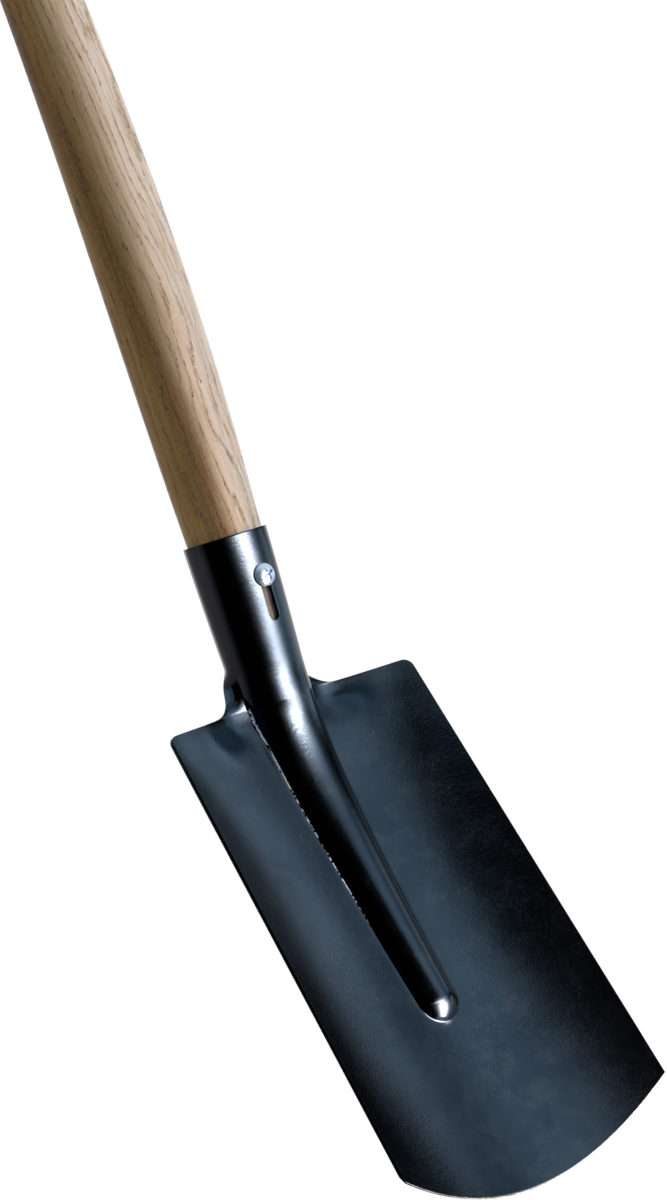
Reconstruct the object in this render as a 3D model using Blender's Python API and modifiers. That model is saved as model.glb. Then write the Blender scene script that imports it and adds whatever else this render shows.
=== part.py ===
"""Border spade: a pressed steel blade with a rolled socket, on a bent ash shaft with a T-grip.

The world origin is the middle of the grip, where the hand or a rack holds the spade. +Z runs up
the straight upper part of the shaft and the blade's working face looks to -Y.

The blade and its socket are drawn in the head's own frame: z = 0 is the shoulder line, +Z runs up
the socket's axis, and y = 0 is the plane through the blade's four corners at the shoulder line.
"""

import math

import bmesh
import bpy
import numpy as np

# Sheet of the blade and socket
SHEET = 0.0020
EDGE_LAND = 0.0007
GRIND_WIDTH = 0.0045

# Blade outline, measured in the plane through its four corners
SHOULDER_WIDTH = 0.1570
FLARE = 0.0166
SIDE_LENGTH = 0.2423
EDGE_BULGE = 0.0230
CORNER_RADIUS = 0.0045
LIFT = math.radians(19.8)

# Dish of the blade between its side edges, and the hollows beside the rib at the shoulders
SHOULDER_DISH = 0.0100
BLADE_DISH = 0.0192
DISH_RUN = 0.040
HOLLOW_DEPTH = 0.0048
HOLLOW_PLACE = 0.031
HOLLOW_SPREAD = 0.015
HOLLOW_RUN = 0.014

# Raised rib that carries the socket's round form down the blade
RIB_TOP_HALF_WIDTH = 0.0192
RIB_TIP_HALF_WIDTH = 0.0110
RIB_TOP_HEIGHT = 0.0170
RIB_HEIGHT = 0.0070
RIB_FALL_RUN = 0.050
RIB_LENGTH = 0.174
RIB_TIP_LENGTH = 0.0115
RIB_TIP_BLUNTNESS = 0.25
RIB_FOOT_SOFTNESS = 0.0008
EVEN_BELOW = 0.100

# Socket, rolled from the same sheet
SOCKET_LENGTH = 0.0835
SOCKET_MOUTH_RADIUS = 0.0211
SOCKET_TAPER = 0.0028
SOCKET_TAPER_POWER = 1.35
SOCKET_AXIS_BACK = 0.0122
SEAM_GAP = 0.0024
ROLL_HEIGHT = 0.0222
THROAT_HALF_WIDTH = 0.0385
THROAT_FILLET = 0.0100
WAIST_FLANGE = 0.0102
SEAM_CLOSES_AT = 0.047
FOOT_ANGLE = math.radians(84)

# Slot and screw in the front of the socket
SLOT_WIDTH = 0.0060
SLOT_BOTTOM = 0.0381
SCREW_HEIGHT = 0.0606
SCREW_HEAD_RADIUS = 0.0058
SCREW_HEAD_HEIGHT = 0.0036
SCREW_RADIUS = 0.0023
SCREW_LENGTH = 0.030
SCREW_POINT = 0.006
RECESS_SPAN = 0.0064
RECESS_WIDTH = 0.0014
RECESS_DEPTH = 0.0020
RECESS_TURN = math.radians(20)

# Ash shaft
GRIP_REACH = 0.800
BEND_START = 0.130
BEND_RUN = 0.240
BEND = math.radians(6.0)
SHAFT_TOE = 0.012
TOE_CHAMFER = 0.003
BELLY_HEIGHT = 0.200
BELLY_RADIUS = 0.0212
BELLY_SPREAD = 0.209
HAND_RADIUS = 0.0170
NECK_LENGTH = 0.070
NECK_RADIUS = 0.0130
TENON_RADIUS = 0.0107

# T-grip, turned from ash
GRIP_LENGTH = 0.140
GRIP_MIDDLE_RADIUS = 0.0165
GRIP_END_RADIUS = 0.0138
GRIP_ROUNDING = 0.0060
GRIP_SEAT_DEPTH = 0.0020
WEDGE_THICKNESS = 0.0030
WEDGE_TIP = 0.0008
WEDGE_LENGTH = 0.020
PIN_RADIUS = 0.0025
PIN_DROP = 0.0095

# Gap left between touching pieces, and how far a cutter runs past what it cuts
FIT = 0.0003
PAST = 0.004

# Facets
RIB_COLUMNS = 11
FLANGE_COLUMNS = 8
WING_COLUMNS = 6
SECTION_STEPS = 400
SHAFT_SIDES = 28
ROUND_SIDES = 32

STEEL = ((0.030, 0.036, 0.046), 0.34, 0.9)
ASH = ((0.56, 0.41, 0.25), 0.55, 0.0)
ZINC = ((0.62, 0.68, 0.76), 0.28, 1.0)
BEECH = ((0.62, 0.42, 0.26), 0.6, 0.0)


def clear_scene():
    for obj in list(bpy.data.objects):
        bpy.data.objects.remove(obj, do_unlink=True)


def new_collection(name, hidden=False):
    group = bpy.data.collections.new(name)
    bpy.context.scene.collection.children.link(group)
    group.hide_render = hidden
    return group


def material(name, look):
    colour, roughness, metallic = look
    made = bpy.data.materials.new(name)
    made.use_nodes = True
    shader = made.node_tree.nodes["Principled BSDF"]
    shader.inputs["Base Color"].default_value = (*colour, 1.0)
    shader.inputs["Roughness"].default_value = roughness
    shader.inputs["Metallic"].default_value = metallic
    made.diffuse_color = (*colour, 1.0)
    return made


def smooth_shade(mesh):
    mesh.shade_smooth()
    mesh.set_sharp_from_angle(angle=math.radians(35))


def add_piece(name, mesh, group, look=None, parent=None):
    obj = bpy.data.objects.new(name, mesh)
    group.objects.link(obj)
    obj.parent = parent
    if look:
        mesh.materials.append(look)
    return obj


def add_cutter(name, mesh, group, parent=None):
    cutter = add_piece(name, mesh, group, None, parent)
    cutter.hide_render = True
    cutter.display_type = "WIRE"
    return cutter


def boolean(obj, other, operation="DIFFERENCE"):
    cut = obj.modifiers.new(other.name, "BOOLEAN")
    cut.operation = operation
    cut.solver = "EXACT"
    cut.object = other


def smoothstep(value):
    part = np.clip(value, 0.0, 1.0)
    return part * part * (3 - 2 * part)


# The head: blade, rib and socket from one sheet


def socket_radius(height):
    """Outer radius of the socket: nearly straight at the mouth, tapering towards the blade."""
    down = 1 - np.clip(height / SOCKET_LENGTH, 0.0, 1.0)
    return SOCKET_MOUTH_RADIUS - SOCKET_TAPER * down**SOCKET_TAPER_POWER


def half_width(along):
    return (SHOULDER_WIDTH + FLARE * along / SIDE_LENGTH) / 2


def dish_depth(x, along):
    """How far the sheet lies behind the corner plane: a parabola across, deeper below the
    shoulders, and near them a hollow on each side of the rib, where the neck turns back."""
    deep = SHOULDER_DISH + (BLADE_DISH - SHOULDER_DISH) * (1 - np.exp(-along / DISH_RUN))
    hollow = np.exp(-(((np.abs(x) - HOLLOW_PLACE) / HOLLOW_SPREAD) ** 2))
    fading = np.exp(-((np.maximum(along, 0.0) / HOLLOW_RUN) ** 2))
    return deep * (1 - (x / half_width(along)) ** 2) + HOLLOW_DEPTH * hollow * fading


def rib_section(along):
    """Half-width and height of the rib at a place down the blade, before its rounded tip: it
    tapers evenly to the tip, and its height falls quickly below the shoulders."""
    taper = (RIB_TOP_HALF_WIDTH - RIB_TIP_HALF_WIDTH) / RIB_LENGTH
    half = RIB_TOP_HALF_WIDTH - taper * np.minimum(along, RIB_LENGTH)
    high = RIB_HEIGHT + (RIB_TOP_HEIGHT - RIB_HEIGHT) * np.exp(-along / RIB_FALL_RUN)
    return half, high


def into_tip(along):
    """0 before the rib's tip and 1 at its end."""
    return np.maximum((along - RIB_LENGTH) / RIB_TIP_LENGTH + 1, 0.0)


def rib_height(x, along):
    """A circular arc across, carried round the tip, whose foot runs softly into the sheet."""
    half, high = rib_section(along)
    radius = (half**2 + high**2) / (2 * high)
    outward = half * np.hypot(x / half, into_tip(along))
    inside = np.minimum(outward, half)
    steep = half / np.sqrt(radius**2 - half**2)
    arc = np.sqrt(radius**2 - inside**2) - (radius - high) - steep * (outward - inside)
    return 0.5 * (arc + np.sqrt(arc**2 + RIB_FOOT_SOFTNESS**2))


def front_height(x, along):
    """Height of the sheet's front over the corner plane, in which the middle of the sheet lies at
    the side edges."""
    return rib_height(x, along) - dish_depth(x, along) + SHEET / 2


def blade_point(x, along):
    """Front surface of the blade: down the corner plane and forwards square to it."""
    forward = front_height(x, along)
    y = -along * math.sin(LIFT) - forward * math.cos(LIFT)
    z = -along * math.cos(LIFT) + forward * math.sin(LIFT)
    return np.stack([x, y, z], axis=-1)


def blade_start(x):
    """Where the sheet begins at the shoulders: level along z = 0, down round the corners."""
    into = np.clip(np.abs(x) - (SHOULDER_WIDTH / 2 - CORNER_RADIUS), 0.0, CORNER_RADIUS)
    drop = CORNER_RADIUS - np.sqrt(CORNER_RADIUS**2 - into**2)
    return front_height(x, 0.0) * math.tan(LIFT) + drop


def edge_length(x):
    return SIDE_LENGTH + EDGE_BULGE * (1 - (x / half_width(SIDE_LENGTH)) ** 2)


def column_places():
    """Places across half the blade at the shoulder line: even steps round the rib's arc, close
    ones at its foot, then wider ones to the rounded corner."""
    turned = np.linspace(0.0, FOOT_ANGLE, RIB_COLUMNS)
    rib = RIB_TOP_HALF_WIDTH * np.sin(turned) / math.sin(FOOT_ANGLE)
    spread = np.linspace(0.0, 1.0, FLANGE_COLUMNS + 1)[1:] ** 1.5
    flange = RIB_TOP_HALF_WIDTH + (THROAT_HALF_WIDTH - RIB_TOP_HALF_WIDTH) * spread
    corner = SHOULDER_WIDTH / 2 - CORNER_RADIUS
    wing = np.linspace(THROAT_HALF_WIDTH, corner, WING_COLUMNS)[1:]
    turn = corner + CORNER_RADIUS * np.sin(np.radians([30, 60, 90]))
    return np.concatenate([rib, flange, wing, turn])


def row_shares():
    """Places down the blade, as shares of its length: close at the shoulders and the rib's tip."""
    whole = SIDE_LENGTH + EDGE_BULGE
    tip_start = (RIB_LENGTH - RIB_TIP_LENGTH) / whole
    tip_end = RIB_LENGTH / whole
    shoulders = DISH_RUN / whole
    turn = np.sin(np.radians([15, 30, 44, 57, 68, 77, 84, 90]))
    grind = 1 - GRIND_WIDTH / whole
    return np.concatenate(
        [
            shoulders * np.linspace(0.0, 1.0, 9) ** 1.3,
            np.linspace(shoulders, tip_start, 10)[1:],
            tip_start + (tip_end - tip_start) * turn,
            np.linspace(tip_end, grind, 7)[1:],
            [1.0],
        ]
    )


def blade_rows(places):
    """Rows from the shoulder line to the cutting edge. The columns at the rib close in with it
    and round its tip, and the outer ones spread with the blade's width."""
    share = row_shares()[:, None]
    x_top = places[None, :]
    level = share * (SIDE_LENGTH + EDGE_BULGE)
    half, _ = rib_section(level)
    tip = np.sqrt(np.maximum(1 - into_tip(level) ** 2, RIB_TIP_BLUNTNESS**2))
    past_tip = np.clip((level - RIB_LENGTH) / RIB_TIP_LENGTH, 0.0, 1.0)
    half = half * (tip + (1 - tip) * past_tip)
    start = blade_start(x_top) * np.maximum(1 - level / EVEN_BELOW, 0.0)
    reach = edge_length(x_top * half_width(SIDE_LENGTH) / half_width(0.0))
    wide = half_width(start + share * reach)
    outward = (x_top - RIB_TOP_HALF_WIDTH) / (SHOULDER_WIDTH / 2 - RIB_TOP_HALF_WIDTH)
    on_rib = half * x_top / RIB_TOP_HALF_WIDTH
    x = np.where(x_top < RIB_TOP_HALF_WIDTH, on_rib, half + (wide - half) * outward)
    along = start + share * edge_length(x)
    return blade_point(x, along)


def neck_heights():
    fillet = THROAT_FILLET * (1 - np.cos(np.linspace(0.0, math.pi / 2, 6)[1:]))
    roll = np.linspace(THROAT_FILLET, ROLL_HEIGHT, 6)[1:]
    close = np.linspace(ROLL_HEIGHT, SEAM_CLOSES_AT, 6)[1:]
    mouth = np.linspace(SEAM_CLOSES_AT, SOCKET_LENGTH, 5)[1:]
    return np.concatenate([fillet, roll, close, mouth])


def neck_rows(places):
    """Rows of the neck. The shoulder line's section is walked from the crown outwards, and its
    direction at each length changes from the blade's to the rolled socket's, so the sheet keeps
    its width while it rolls up. Its edge follows the blank: a fillet at the throat, a waist, then
    the width that closes the seam."""
    x = np.linspace(0.0, SHOULDER_WIDTH / 2 - CORNER_RADIUS, SECTION_STEPS)
    section = blade_point(x, blade_start(x))
    steps = np.diff(section, axis=0)
    step = np.hypot(steps[:, 0], steps[:, 1])
    run = np.concatenate([[0.0], np.cumsum(step)])
    middle = (run[1:] + run[:-1]) / 2
    blade_angle = np.arctan2(steps[:, 1], steps[:, 0])
    blade_columns = np.interp(places, x, run)
    foot = blade_columns[RIB_COLUMNS - 1]
    blade_spread = (blade_columns[RIB_COLUMNS:] - foot) / (blade_columns[-1] - foot)
    even_spread = np.linspace(0.0, 1.0, FLANGE_COLUMNS + 1)[1:]
    fillet_run = blade_columns[-1] - FOOT_ANGLE * socket_radius(0.0) - WAIST_FLANGE
    rows = []
    for height in neck_heights():
        radius = socket_radius(height)
        rolled = smoothstep(height / ROLL_HEIGHT)
        closing = smoothstep((height - THROAT_FILLET) / (SEAM_CLOSES_AT - THROAT_FILLET))
        below = max(1 - height / THROAT_FILLET, 0.0)
        waist = FOOT_ANGLE * radius + WAIST_FLANGE
        edge = waist + (math.pi * radius - SEAM_GAP / 2 - waist) * closing
        edge += fillet_run * (1 - math.sqrt(1 - below**2))
        on_rib = radius * np.linspace(0.0, FOOT_ANGLE, RIB_COLUMNS)
        on_rib = blade_columns[:RIB_COLUMNS] + (on_rib - blade_columns[:RIB_COLUMNS]) * rolled
        spread = blade_spread + (even_spread - blade_spread) * rolled
        columns = np.concatenate([on_rib, on_rib[-1] + (edge - on_rib[-1]) * spread])
        angle = blade_angle + (middle / radius - blade_angle) * rolled
        crown = section[0, 1] + (SOCKET_AXIS_BACK - radius - section[0, 1]) * rolled
        across = np.concatenate([[0.0], np.cumsum(step * np.cos(angle))])
        back = np.concatenate([[0.0], np.cumsum(step * np.sin(angle))]) + crown
        level = height + section[:, 2] * (1 - rolled)
        walked = [np.interp(columns, run, values) for values in (across, back, level)]
        rows.append(np.stack(walked, axis=-1))
    return rows


def grid_faces(index):
    """Quads of a grid of point numbers. They face -Y when the rows run upwards."""
    corners = [index[:-1, :-1], index[:-1, 1:], index[1:, 1:], index[1:, :-1]]
    return np.stack([part.ravel() for part in corners], axis=-1)


def head_sheet():
    """The sheet's front surface from the cutting edge to the socket's mouth: its points, its
    faces, and the numbers of the points on the cutting edge."""
    places = column_places()
    blade = blade_rows(places)
    inner = RIB_COLUMNS + FLANGE_COLUMNS
    neck = neck_rows(places[:inner])
    points = []
    numbers = []

    def add_row(row):
        """Adds a row on both sides of the middle and returns its point numbers, left to right."""
        mirrored = row[:0:-1] * np.array([-1.0, 1.0, 1.0])
        first = sum(len(part) for part in points)
        points.append(np.concatenate([mirrored, row]))
        return np.arange(first, first + 2 * len(row) - 1)

    for row in blade:
        numbers.append(add_row(row))
    wing = len(places) - inner
    neck_numbers = [numbers[0][wing:-wing]]
    for row in neck:
        neck_numbers.append(add_row(row))
    blade_faces = grid_faces(np.array(numbers))[:, ::-1]
    neck_faces = grid_faces(np.array(neck_numbers))
    faces = np.concatenate([blade_faces, neck_faces])
    edge_points = numbers[-1]
    return np.concatenate(points), faces, edge_points


def make_head(group, cutters, frame, look):
    """The sheet thickened to the back, and ground thin from the back at the cutting edge."""
    points, faces, edge_points = head_sheet()
    mesh = bpy.data.meshes.new("blade_and_socket")
    mesh.from_pydata(points.tolist(), [], faces.tolist())
    smooth_shade(mesh)
    head = add_piece("blade_and_socket", mesh, group, look, frame)
    thickness = head.vertex_groups.new(name="thickness")
    thickness.add(range(len(points)), 1.0, "REPLACE")
    thickness.add(edge_points.tolist(), EDGE_LAND / SHEET, "REPLACE")
    shell = head.modifiers.new("sheet", "SOLIDIFY")
    shell.thickness = SHEET
    shell.offset = -1.0
    shell.use_even_offset = True
    shell.vertex_group = thickness.name
    boolean(head, slot_cutter(cutters, frame))
    return head


def slot_cutter(cutters, frame):
    """A bar with round ends, standing through the front wall of the socket only."""
    radius = SLOT_WIDTH / 2
    turn = np.linspace(0.0, math.pi, 9)
    top = np.stack([radius * np.cos(turn), SCREW_HEIGHT + radius * np.sin(turn)], axis=-1)
    foot = SLOT_BOTTOM + radius
    bottom = np.stack([-radius * np.cos(turn), foot - radius * np.sin(turn)], axis=-1)
    outline = np.concatenate([top, bottom])
    front = SOCKET_AXIS_BACK - SOCKET_MOUTH_RADIUS - PAST
    mesh = prism("slot_cutter", outline, front, SOCKET_AXIS_BACK - radius)
    return add_cutter("slot_cutter", mesh, cutters, frame)


def prism(name, outline, front, back):
    """An outline in x and z, carried from the front to the back along y."""
    count = len(outline)
    ends = [
        np.stack([outline[:, 0], np.full(count, y), outline[:, 1]], axis=-1) for y in (front, back)
    ]
    ring = np.arange(count)
    ahead = (ring + 1) % count
    sides = np.stack([ring, ring + count, ahead + count, ahead], axis=-1).tolist()
    mesh = bpy.data.meshes.new(name)
    mesh.from_pydata(
        np.concatenate(ends).tolist(), [], [*sides, ring.tolist(), (ring[::-1] + count).tolist()]
    )
    return mesh


# Turned pieces


def turned(name, profile, sides):
    """A closed turned mesh about Z from (radius, z) pairs, which run from the top down."""
    mesh = bpy.data.meshes.new(name)
    points = [(radius, 0.0, z) for radius, z in profile]
    mesh.from_pydata(points, [(i, i + 1) for i in range(len(points) - 1)], [])
    helper = bpy.data.objects.new(name + "_profile", mesh)
    bpy.context.scene.collection.objects.link(helper)
    screw = helper.modifiers.new("turn", "SCREW")
    screw.steps = sides
    screw.render_steps = sides
    screw.use_merge_vertices = True
    screw.merge_threshold = 0.00001
    return freeze(helper, name)


def freeze(helper, name):
    """The helper's evaluated shape as a plain mesh, with its doubles merged."""
    graph = bpy.context.evaluated_depsgraph_get()
    mesh = bpy.data.meshes.new_from_object(helper.evaluated_get(graph))
    mesh.name = name
    source = helper.data
    bpy.data.objects.remove(helper, do_unlink=True)
    if isinstance(source, bpy.types.Mesh):
        bpy.data.meshes.remove(source)
    shape = bmesh.new()
    shape.from_mesh(mesh)
    bmesh.ops.remove_doubles(shape, verts=shape.verts, dist=0.00001)
    bmesh.ops.recalc_face_normals(shape, faces=shape.faces)
    shape.to_mesh(mesh)
    shape.free()
    mesh.materials.clear()
    smooth_shade(mesh)
    return mesh


def rod(name, radius, low, high, sides=ROUND_SIDES):
    return turned(name, [(0.0, high), (radius, high), (radius, low), (0.0, low)], sides)


def make_screw(group, cutters, frame, look):
    """Round-head screw: the head bears on the socket's front, the shank enters the wood."""
    seat = socket_radius(SCREW_HEIGHT) + FIT
    turn = np.linspace(0.0, math.pi / 2, 7)
    dome = [
        (SCREW_HEAD_RADIUS * math.sin(a), seat + SCREW_HEAD_HEIGHT * math.cos(a)) for a in turn
    ]
    shank = [
        (SCREW_RADIUS, seat),
        (SCREW_RADIUS, seat - SCREW_LENGTH + SCREW_POINT),
        (0.0, seat - SCREW_LENGTH),
    ]
    mesh = turned("socket_screw", [*dome, *shank], ROUND_SIDES // 2)
    screw = add_piece("socket_screw", mesh, group, look, frame)
    place_on_front(screw)
    top = SOCKET_AXIS_BACK - seat - SCREW_HEAD_HEIGHT
    recess = prism("recess_cutter", cross_outline(), top - PAST, top + RECESS_DEPTH)
    boolean(screw, add_cutter("recess_cutter", recess, cutters, frame))
    hole = rod("screw_hole_cutter", SCREW_RADIUS + FIT, seat - SCREW_LENGTH - FIT, seat + PAST, 16)
    cutter = add_cutter("screw_hole_cutter", hole, cutters, frame)
    place_on_front(cutter)
    return cutter


def cross_outline():
    """The driver's cross in the screw's head, in x and z of the head's frame."""
    arm = RECESS_SPAN / 2
    side = RECESS_WIDTH / 2
    corners = np.array([(arm, -side), (arm, side), (side, side)])
    arms = []
    for quarter in range(4):
        turn = RECESS_TURN + quarter * math.pi / 2
        turning = np.array([[math.cos(turn), math.sin(turn)], [-math.sin(turn), math.cos(turn)]])
        arms.append(corners @ turning)
    return np.concatenate(arms) + np.array([0.0, SCREW_HEIGHT])


def place_on_front(obj):
    """Lays the turned Z axis along -Y, outwards through the socket's front at the screw."""
    obj.location = (0.0, SOCKET_AXIS_BACK, SCREW_HEIGHT)
    obj.rotation_euler = (math.radians(90), 0.0, 0.0)


# The shaft


def centre_line(distance):
    """Point of the shaft's centre line, by the distance down from the grip: straight, then a
    round bend, then straight again down the socket's axis."""
    start = GRIP_REACH - BEND_START - BEND_RUN
    into = min(max(distance - start, 0.0), BEND_RUN)
    radius = BEND_RUN / BEND
    turned_by = into / radius
    rest = max(distance - start - BEND_RUN, 0.0)
    y = radius * (1 - math.cos(turned_by)) + rest * math.sin(BEND)
    z = -min(distance, start) - radius * math.sin(turned_by) - rest * math.cos(BEND)
    return y, z


def shaft_radius(height):
    """Radius by the height above the shoulder line: tapered in the socket, swelling to a belly
    above it, then slimming to the hand's size and to the neck under the grip."""
    mouth = socket_radius(SOCKET_LENGTH) - SHEET - FIT
    if height <= SOCKET_LENGTH:
        inside = socket_radius(height) - SHEET - FIT
        return inside - max(SHAFT_TOE + TOE_CHAMFER - height, 0.0)
    if height <= BELLY_HEIGHT:
        share = (height - SOCKET_LENGTH) / (BELLY_HEIGHT - SOCKET_LENGTH)
        return mouth + (BELLY_RADIUS - mouth) * (1 - (1 - share) ** 2)
    swell = math.exp(-(((height - BELLY_HEIGHT) / BELLY_SPREAD) ** 2))
    radius = HAND_RADIUS + (BELLY_RADIUS - HAND_RADIUS) * swell
    shoulder = GRIP_REACH - grip_seat()
    neck = smoothstep((height - shoulder + NECK_LENGTH) / NECK_LENGTH)
    return radius + (NECK_RADIUS - radius) * float(neck)


def grip_seat():
    """Distance from the grip's axis down to the flat seat under it."""
    return GRIP_MIDDLE_RADIUS - GRIP_SEAT_DEPTH


def crown_cutter(cutters):
    """All that stands above the grip's barrel at the tenon: a prism with a hollow round bottom,
    which trims the tenon and the wedge flush with the barrel."""
    reach = TENON_RADIUS + PAST
    across = np.linspace(-reach, reach, 25)
    round_bottom = np.stack([across, np.sqrt(GRIP_MIDDLE_RADIUS**2 - across**2)], axis=-1)
    top = GRIP_MIDDLE_RADIUS + PAST
    outline = np.concatenate([[(reach, top), (-reach, top)], round_bottom])
    cutter = add_cutter("crown_cutter", prism("crown_cutter", outline, -reach, reach), cutters)
    cutter.rotation_euler = (0.0, 0.0, math.radians(90))
    return cutter


def make_shaft(group, cutters, frame, look, screw_hole, crown):
    top = grip_seat() + FIT
    bottom = GRIP_REACH - SHAFT_TOE
    heights = np.concatenate(
        [
            [SHAFT_TOE, SHAFT_TOE + TOE_CHAMFER],
            np.linspace(SHAFT_TOE + TOE_CHAMFER, SOCKET_LENGTH, 6)[1:],
            np.linspace(SOCKET_LENGTH, BELLY_HEIGHT, 7)[1:],
            np.linspace(BELLY_HEIGHT, GRIP_REACH - top - NECK_LENGTH, 16)[1:],
            np.linspace(GRIP_REACH - top - NECK_LENGTH, GRIP_REACH - top, 7)[1:],
        ]
    )
    curve = bpy.data.curves.new("shaft", "CURVE")
    curve.dimensions = "3D"
    curve.bevel_depth = 1.0
    curve.bevel_resolution = (SHAFT_SIDES - 4) // 2
    curve.use_fill_caps = True
    line = curve.splines.new("POLY")
    line.points.add(len(heights) - 1)
    for point, height in zip(line.points, heights):
        y, z = centre_line(GRIP_REACH - height)
        point.co = (0.0, y, z, 1.0)
        point.radius = shaft_radius(height)
    helper = bpy.data.objects.new("shaft_line", curve)
    bpy.context.scene.collection.objects.link(helper)
    shaft = add_piece("shaft", freeze(helper, "shaft"), group, look)
    bpy.data.curves.remove(curve)
    tenon = rod("tenon_cutter", TENON_RADIUS, -top - 2 * PAST, GRIP_MIDDLE_RADIUS + FIT)
    boolean(shaft, add_cutter("tenon_cutter", tenon, cutters), "UNION")
    boolean(shaft, add_cutter("kerf_cutter", wedge_mesh("kerf_cutter", FIT), cutters))
    boolean(shaft, screw_hole)
    boolean(shaft, pin_hole("pin_hole_cutter", cutters))
    boolean(shaft, crown)
    return shaft


# The grip


def grip_profile():
    """Half outline of the turned grip: a slow barrel between rounded ends with a flat middle."""
    half = GRIP_LENGTH / 2
    straight = half - GRIP_ROUNDING
    turn = np.linspace(0.0, math.pi / 2, 6)
    flat = GRIP_END_RADIUS - GRIP_ROUNDING
    ends = [
        (flat + GRIP_ROUNDING * math.sin(a), straight + GRIP_ROUNDING * math.cos(a)) for a in turn
    ]
    lengths = np.linspace(straight, -straight, 17)[1:-1]
    swell = GRIP_MIDDLE_RADIUS - GRIP_END_RADIUS
    barrel = [(GRIP_END_RADIUS + swell * math.cos(z / straight * math.pi / 2), z) for z in lengths]
    mirrored = [(radius, -z) for radius, z in ends[::-1]]
    return [(0.0, half), *ends, *barrel, *mirrored, (0.0, -half)]


def make_grip(group, cutters, look):
    mesh = turned("grip_crosspiece", grip_profile(), ROUND_SIDES)
    grip = add_piece("grip_crosspiece", mesh, group, look)
    grip.rotation_euler = (0.0, math.radians(90), 0.0)
    past = GRIP_MIDDLE_RADIUS + PAST
    bore = rod("grip_bore_cutter", TENON_RADIUS + FIT, -past, past)
    boolean(grip, add_cutter("grip_bore_cutter", bore, cutters))
    seat = rod("grip_seat_cutter", NECK_RADIUS + GRIP_SEAT_DEPTH, -past, -grip_seat())
    boolean(grip, add_cutter("grip_seat_cutter", seat, cutters))
    boolean(grip, pin_hole("grip_pin_hole_cutter", cutters))
    return grip


def wedge_mesh(name, room=0.0):
    """A taper in x, thick at the top of the tenon, as wide as the tenon. The kerf is the same
    shape with room around it, open past the tenon's top and sides."""
    past = PAST if room else 0.0
    top = GRIP_MIDDLE_RADIUS + FIT
    foot = top - WEDGE_LENGTH - room
    wide = TENON_RADIUS - FIT + past
    slope = (WEDGE_THICKNESS - WEDGE_TIP) / WEDGE_LENGTH / 2
    upper = WEDGE_THICKNESS / 2 + room + slope * past
    lower = WEDGE_TIP / 2 + room - slope * room
    high = top + past
    outline = np.array([(upper, high), (-upper, high), (-lower, foot), (lower, foot)])
    return prism(name, outline, -wide, wide)


def pin_mesh(name, radius, extra=0.0):
    """A round pin along Z, long enough to reach through the grip below the wedge."""
    half = math.sqrt(GRIP_MIDDLE_RADIUS**2 - (PIN_DROP + PIN_RADIUS) ** 2) + extra
    return rod(name, radius, -half, half, 16)


def lay_pin(obj):
    """Lays a pin or its hole from front to back through the grip and the tenon."""
    obj.location = (0.0, 0.0, -PIN_DROP)
    obj.rotation_euler = (math.radians(90), 0.0, 0.0)
    return obj


def pin_hole(name, cutters):
    return lay_pin(add_cutter(name, pin_mesh(name, PIN_RADIUS + FIT, PAST), cutters))


def make_head_frame(group):
    """The empty that carries the head: turned by the shaft's bend, its socket on the shaft."""
    frame = bpy.data.objects.new("head_frame", None)
    group.objects.link(frame)
    y, z = centre_line(GRIP_REACH)
    frame.rotation_euler = (BEND, 0.0, 0.0)
    back = SOCKET_AXIS_BACK
    frame.location = (0.0, y - back * math.cos(BEND), z - back * math.sin(BEND))
    return frame


def main():
    clear_scene()
    parts = new_collection("spade")
    cutters = new_collection("cutters", hidden=True)
    steel = material("blued_steel", STEEL)
    ash = material("ash", ASH)
    zinc = material("zinc_plate", ZINC)
    beech = material("beech", BEECH)
    frame = make_head_frame(parts)
    make_head(parts, cutters, frame, steel)
    screw_hole = make_screw(parts, cutters, frame, zinc)
    crown = crown_cutter(cutters)
    make_shaft(parts, cutters, frame, ash, screw_hole, crown)
    make_grip(parts, cutters, ash)
    boolean(add_piece("tenon_wedge", wedge_mesh("tenon_wedge"), parts, beech), crown)
    lay_pin(add_piece("grip_pin", pin_mesh("grip_pin", PIN_RADIUS), parts, beech))


main()
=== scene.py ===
"""Border spade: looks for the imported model, built piece by piece around its frame.

World coordinates are the model's own: the middle of the grip at the origin, +Z up the straight
upper shaft, the blade's working face to -Y, all in metres.
"""

import math

import bpy
import numpy as np
from mathutils import Matrix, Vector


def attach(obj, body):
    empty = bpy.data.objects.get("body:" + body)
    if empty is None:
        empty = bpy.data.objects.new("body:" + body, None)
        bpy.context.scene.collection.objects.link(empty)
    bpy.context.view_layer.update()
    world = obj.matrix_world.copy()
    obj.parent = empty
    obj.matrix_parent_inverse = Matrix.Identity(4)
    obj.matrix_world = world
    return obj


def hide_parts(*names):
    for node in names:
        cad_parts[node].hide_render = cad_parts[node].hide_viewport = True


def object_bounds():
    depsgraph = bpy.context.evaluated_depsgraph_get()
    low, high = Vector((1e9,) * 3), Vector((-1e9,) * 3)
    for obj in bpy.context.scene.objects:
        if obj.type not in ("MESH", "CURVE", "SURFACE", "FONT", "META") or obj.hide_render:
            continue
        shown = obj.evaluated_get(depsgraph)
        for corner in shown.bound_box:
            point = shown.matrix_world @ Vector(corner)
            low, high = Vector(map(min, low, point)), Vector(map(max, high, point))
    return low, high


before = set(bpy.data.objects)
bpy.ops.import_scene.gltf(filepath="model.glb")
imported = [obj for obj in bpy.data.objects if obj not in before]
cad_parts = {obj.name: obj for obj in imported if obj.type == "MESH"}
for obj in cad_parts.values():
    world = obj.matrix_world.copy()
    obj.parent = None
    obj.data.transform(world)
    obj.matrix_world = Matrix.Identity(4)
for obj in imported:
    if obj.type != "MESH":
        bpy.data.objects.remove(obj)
cad_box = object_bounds()


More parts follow.
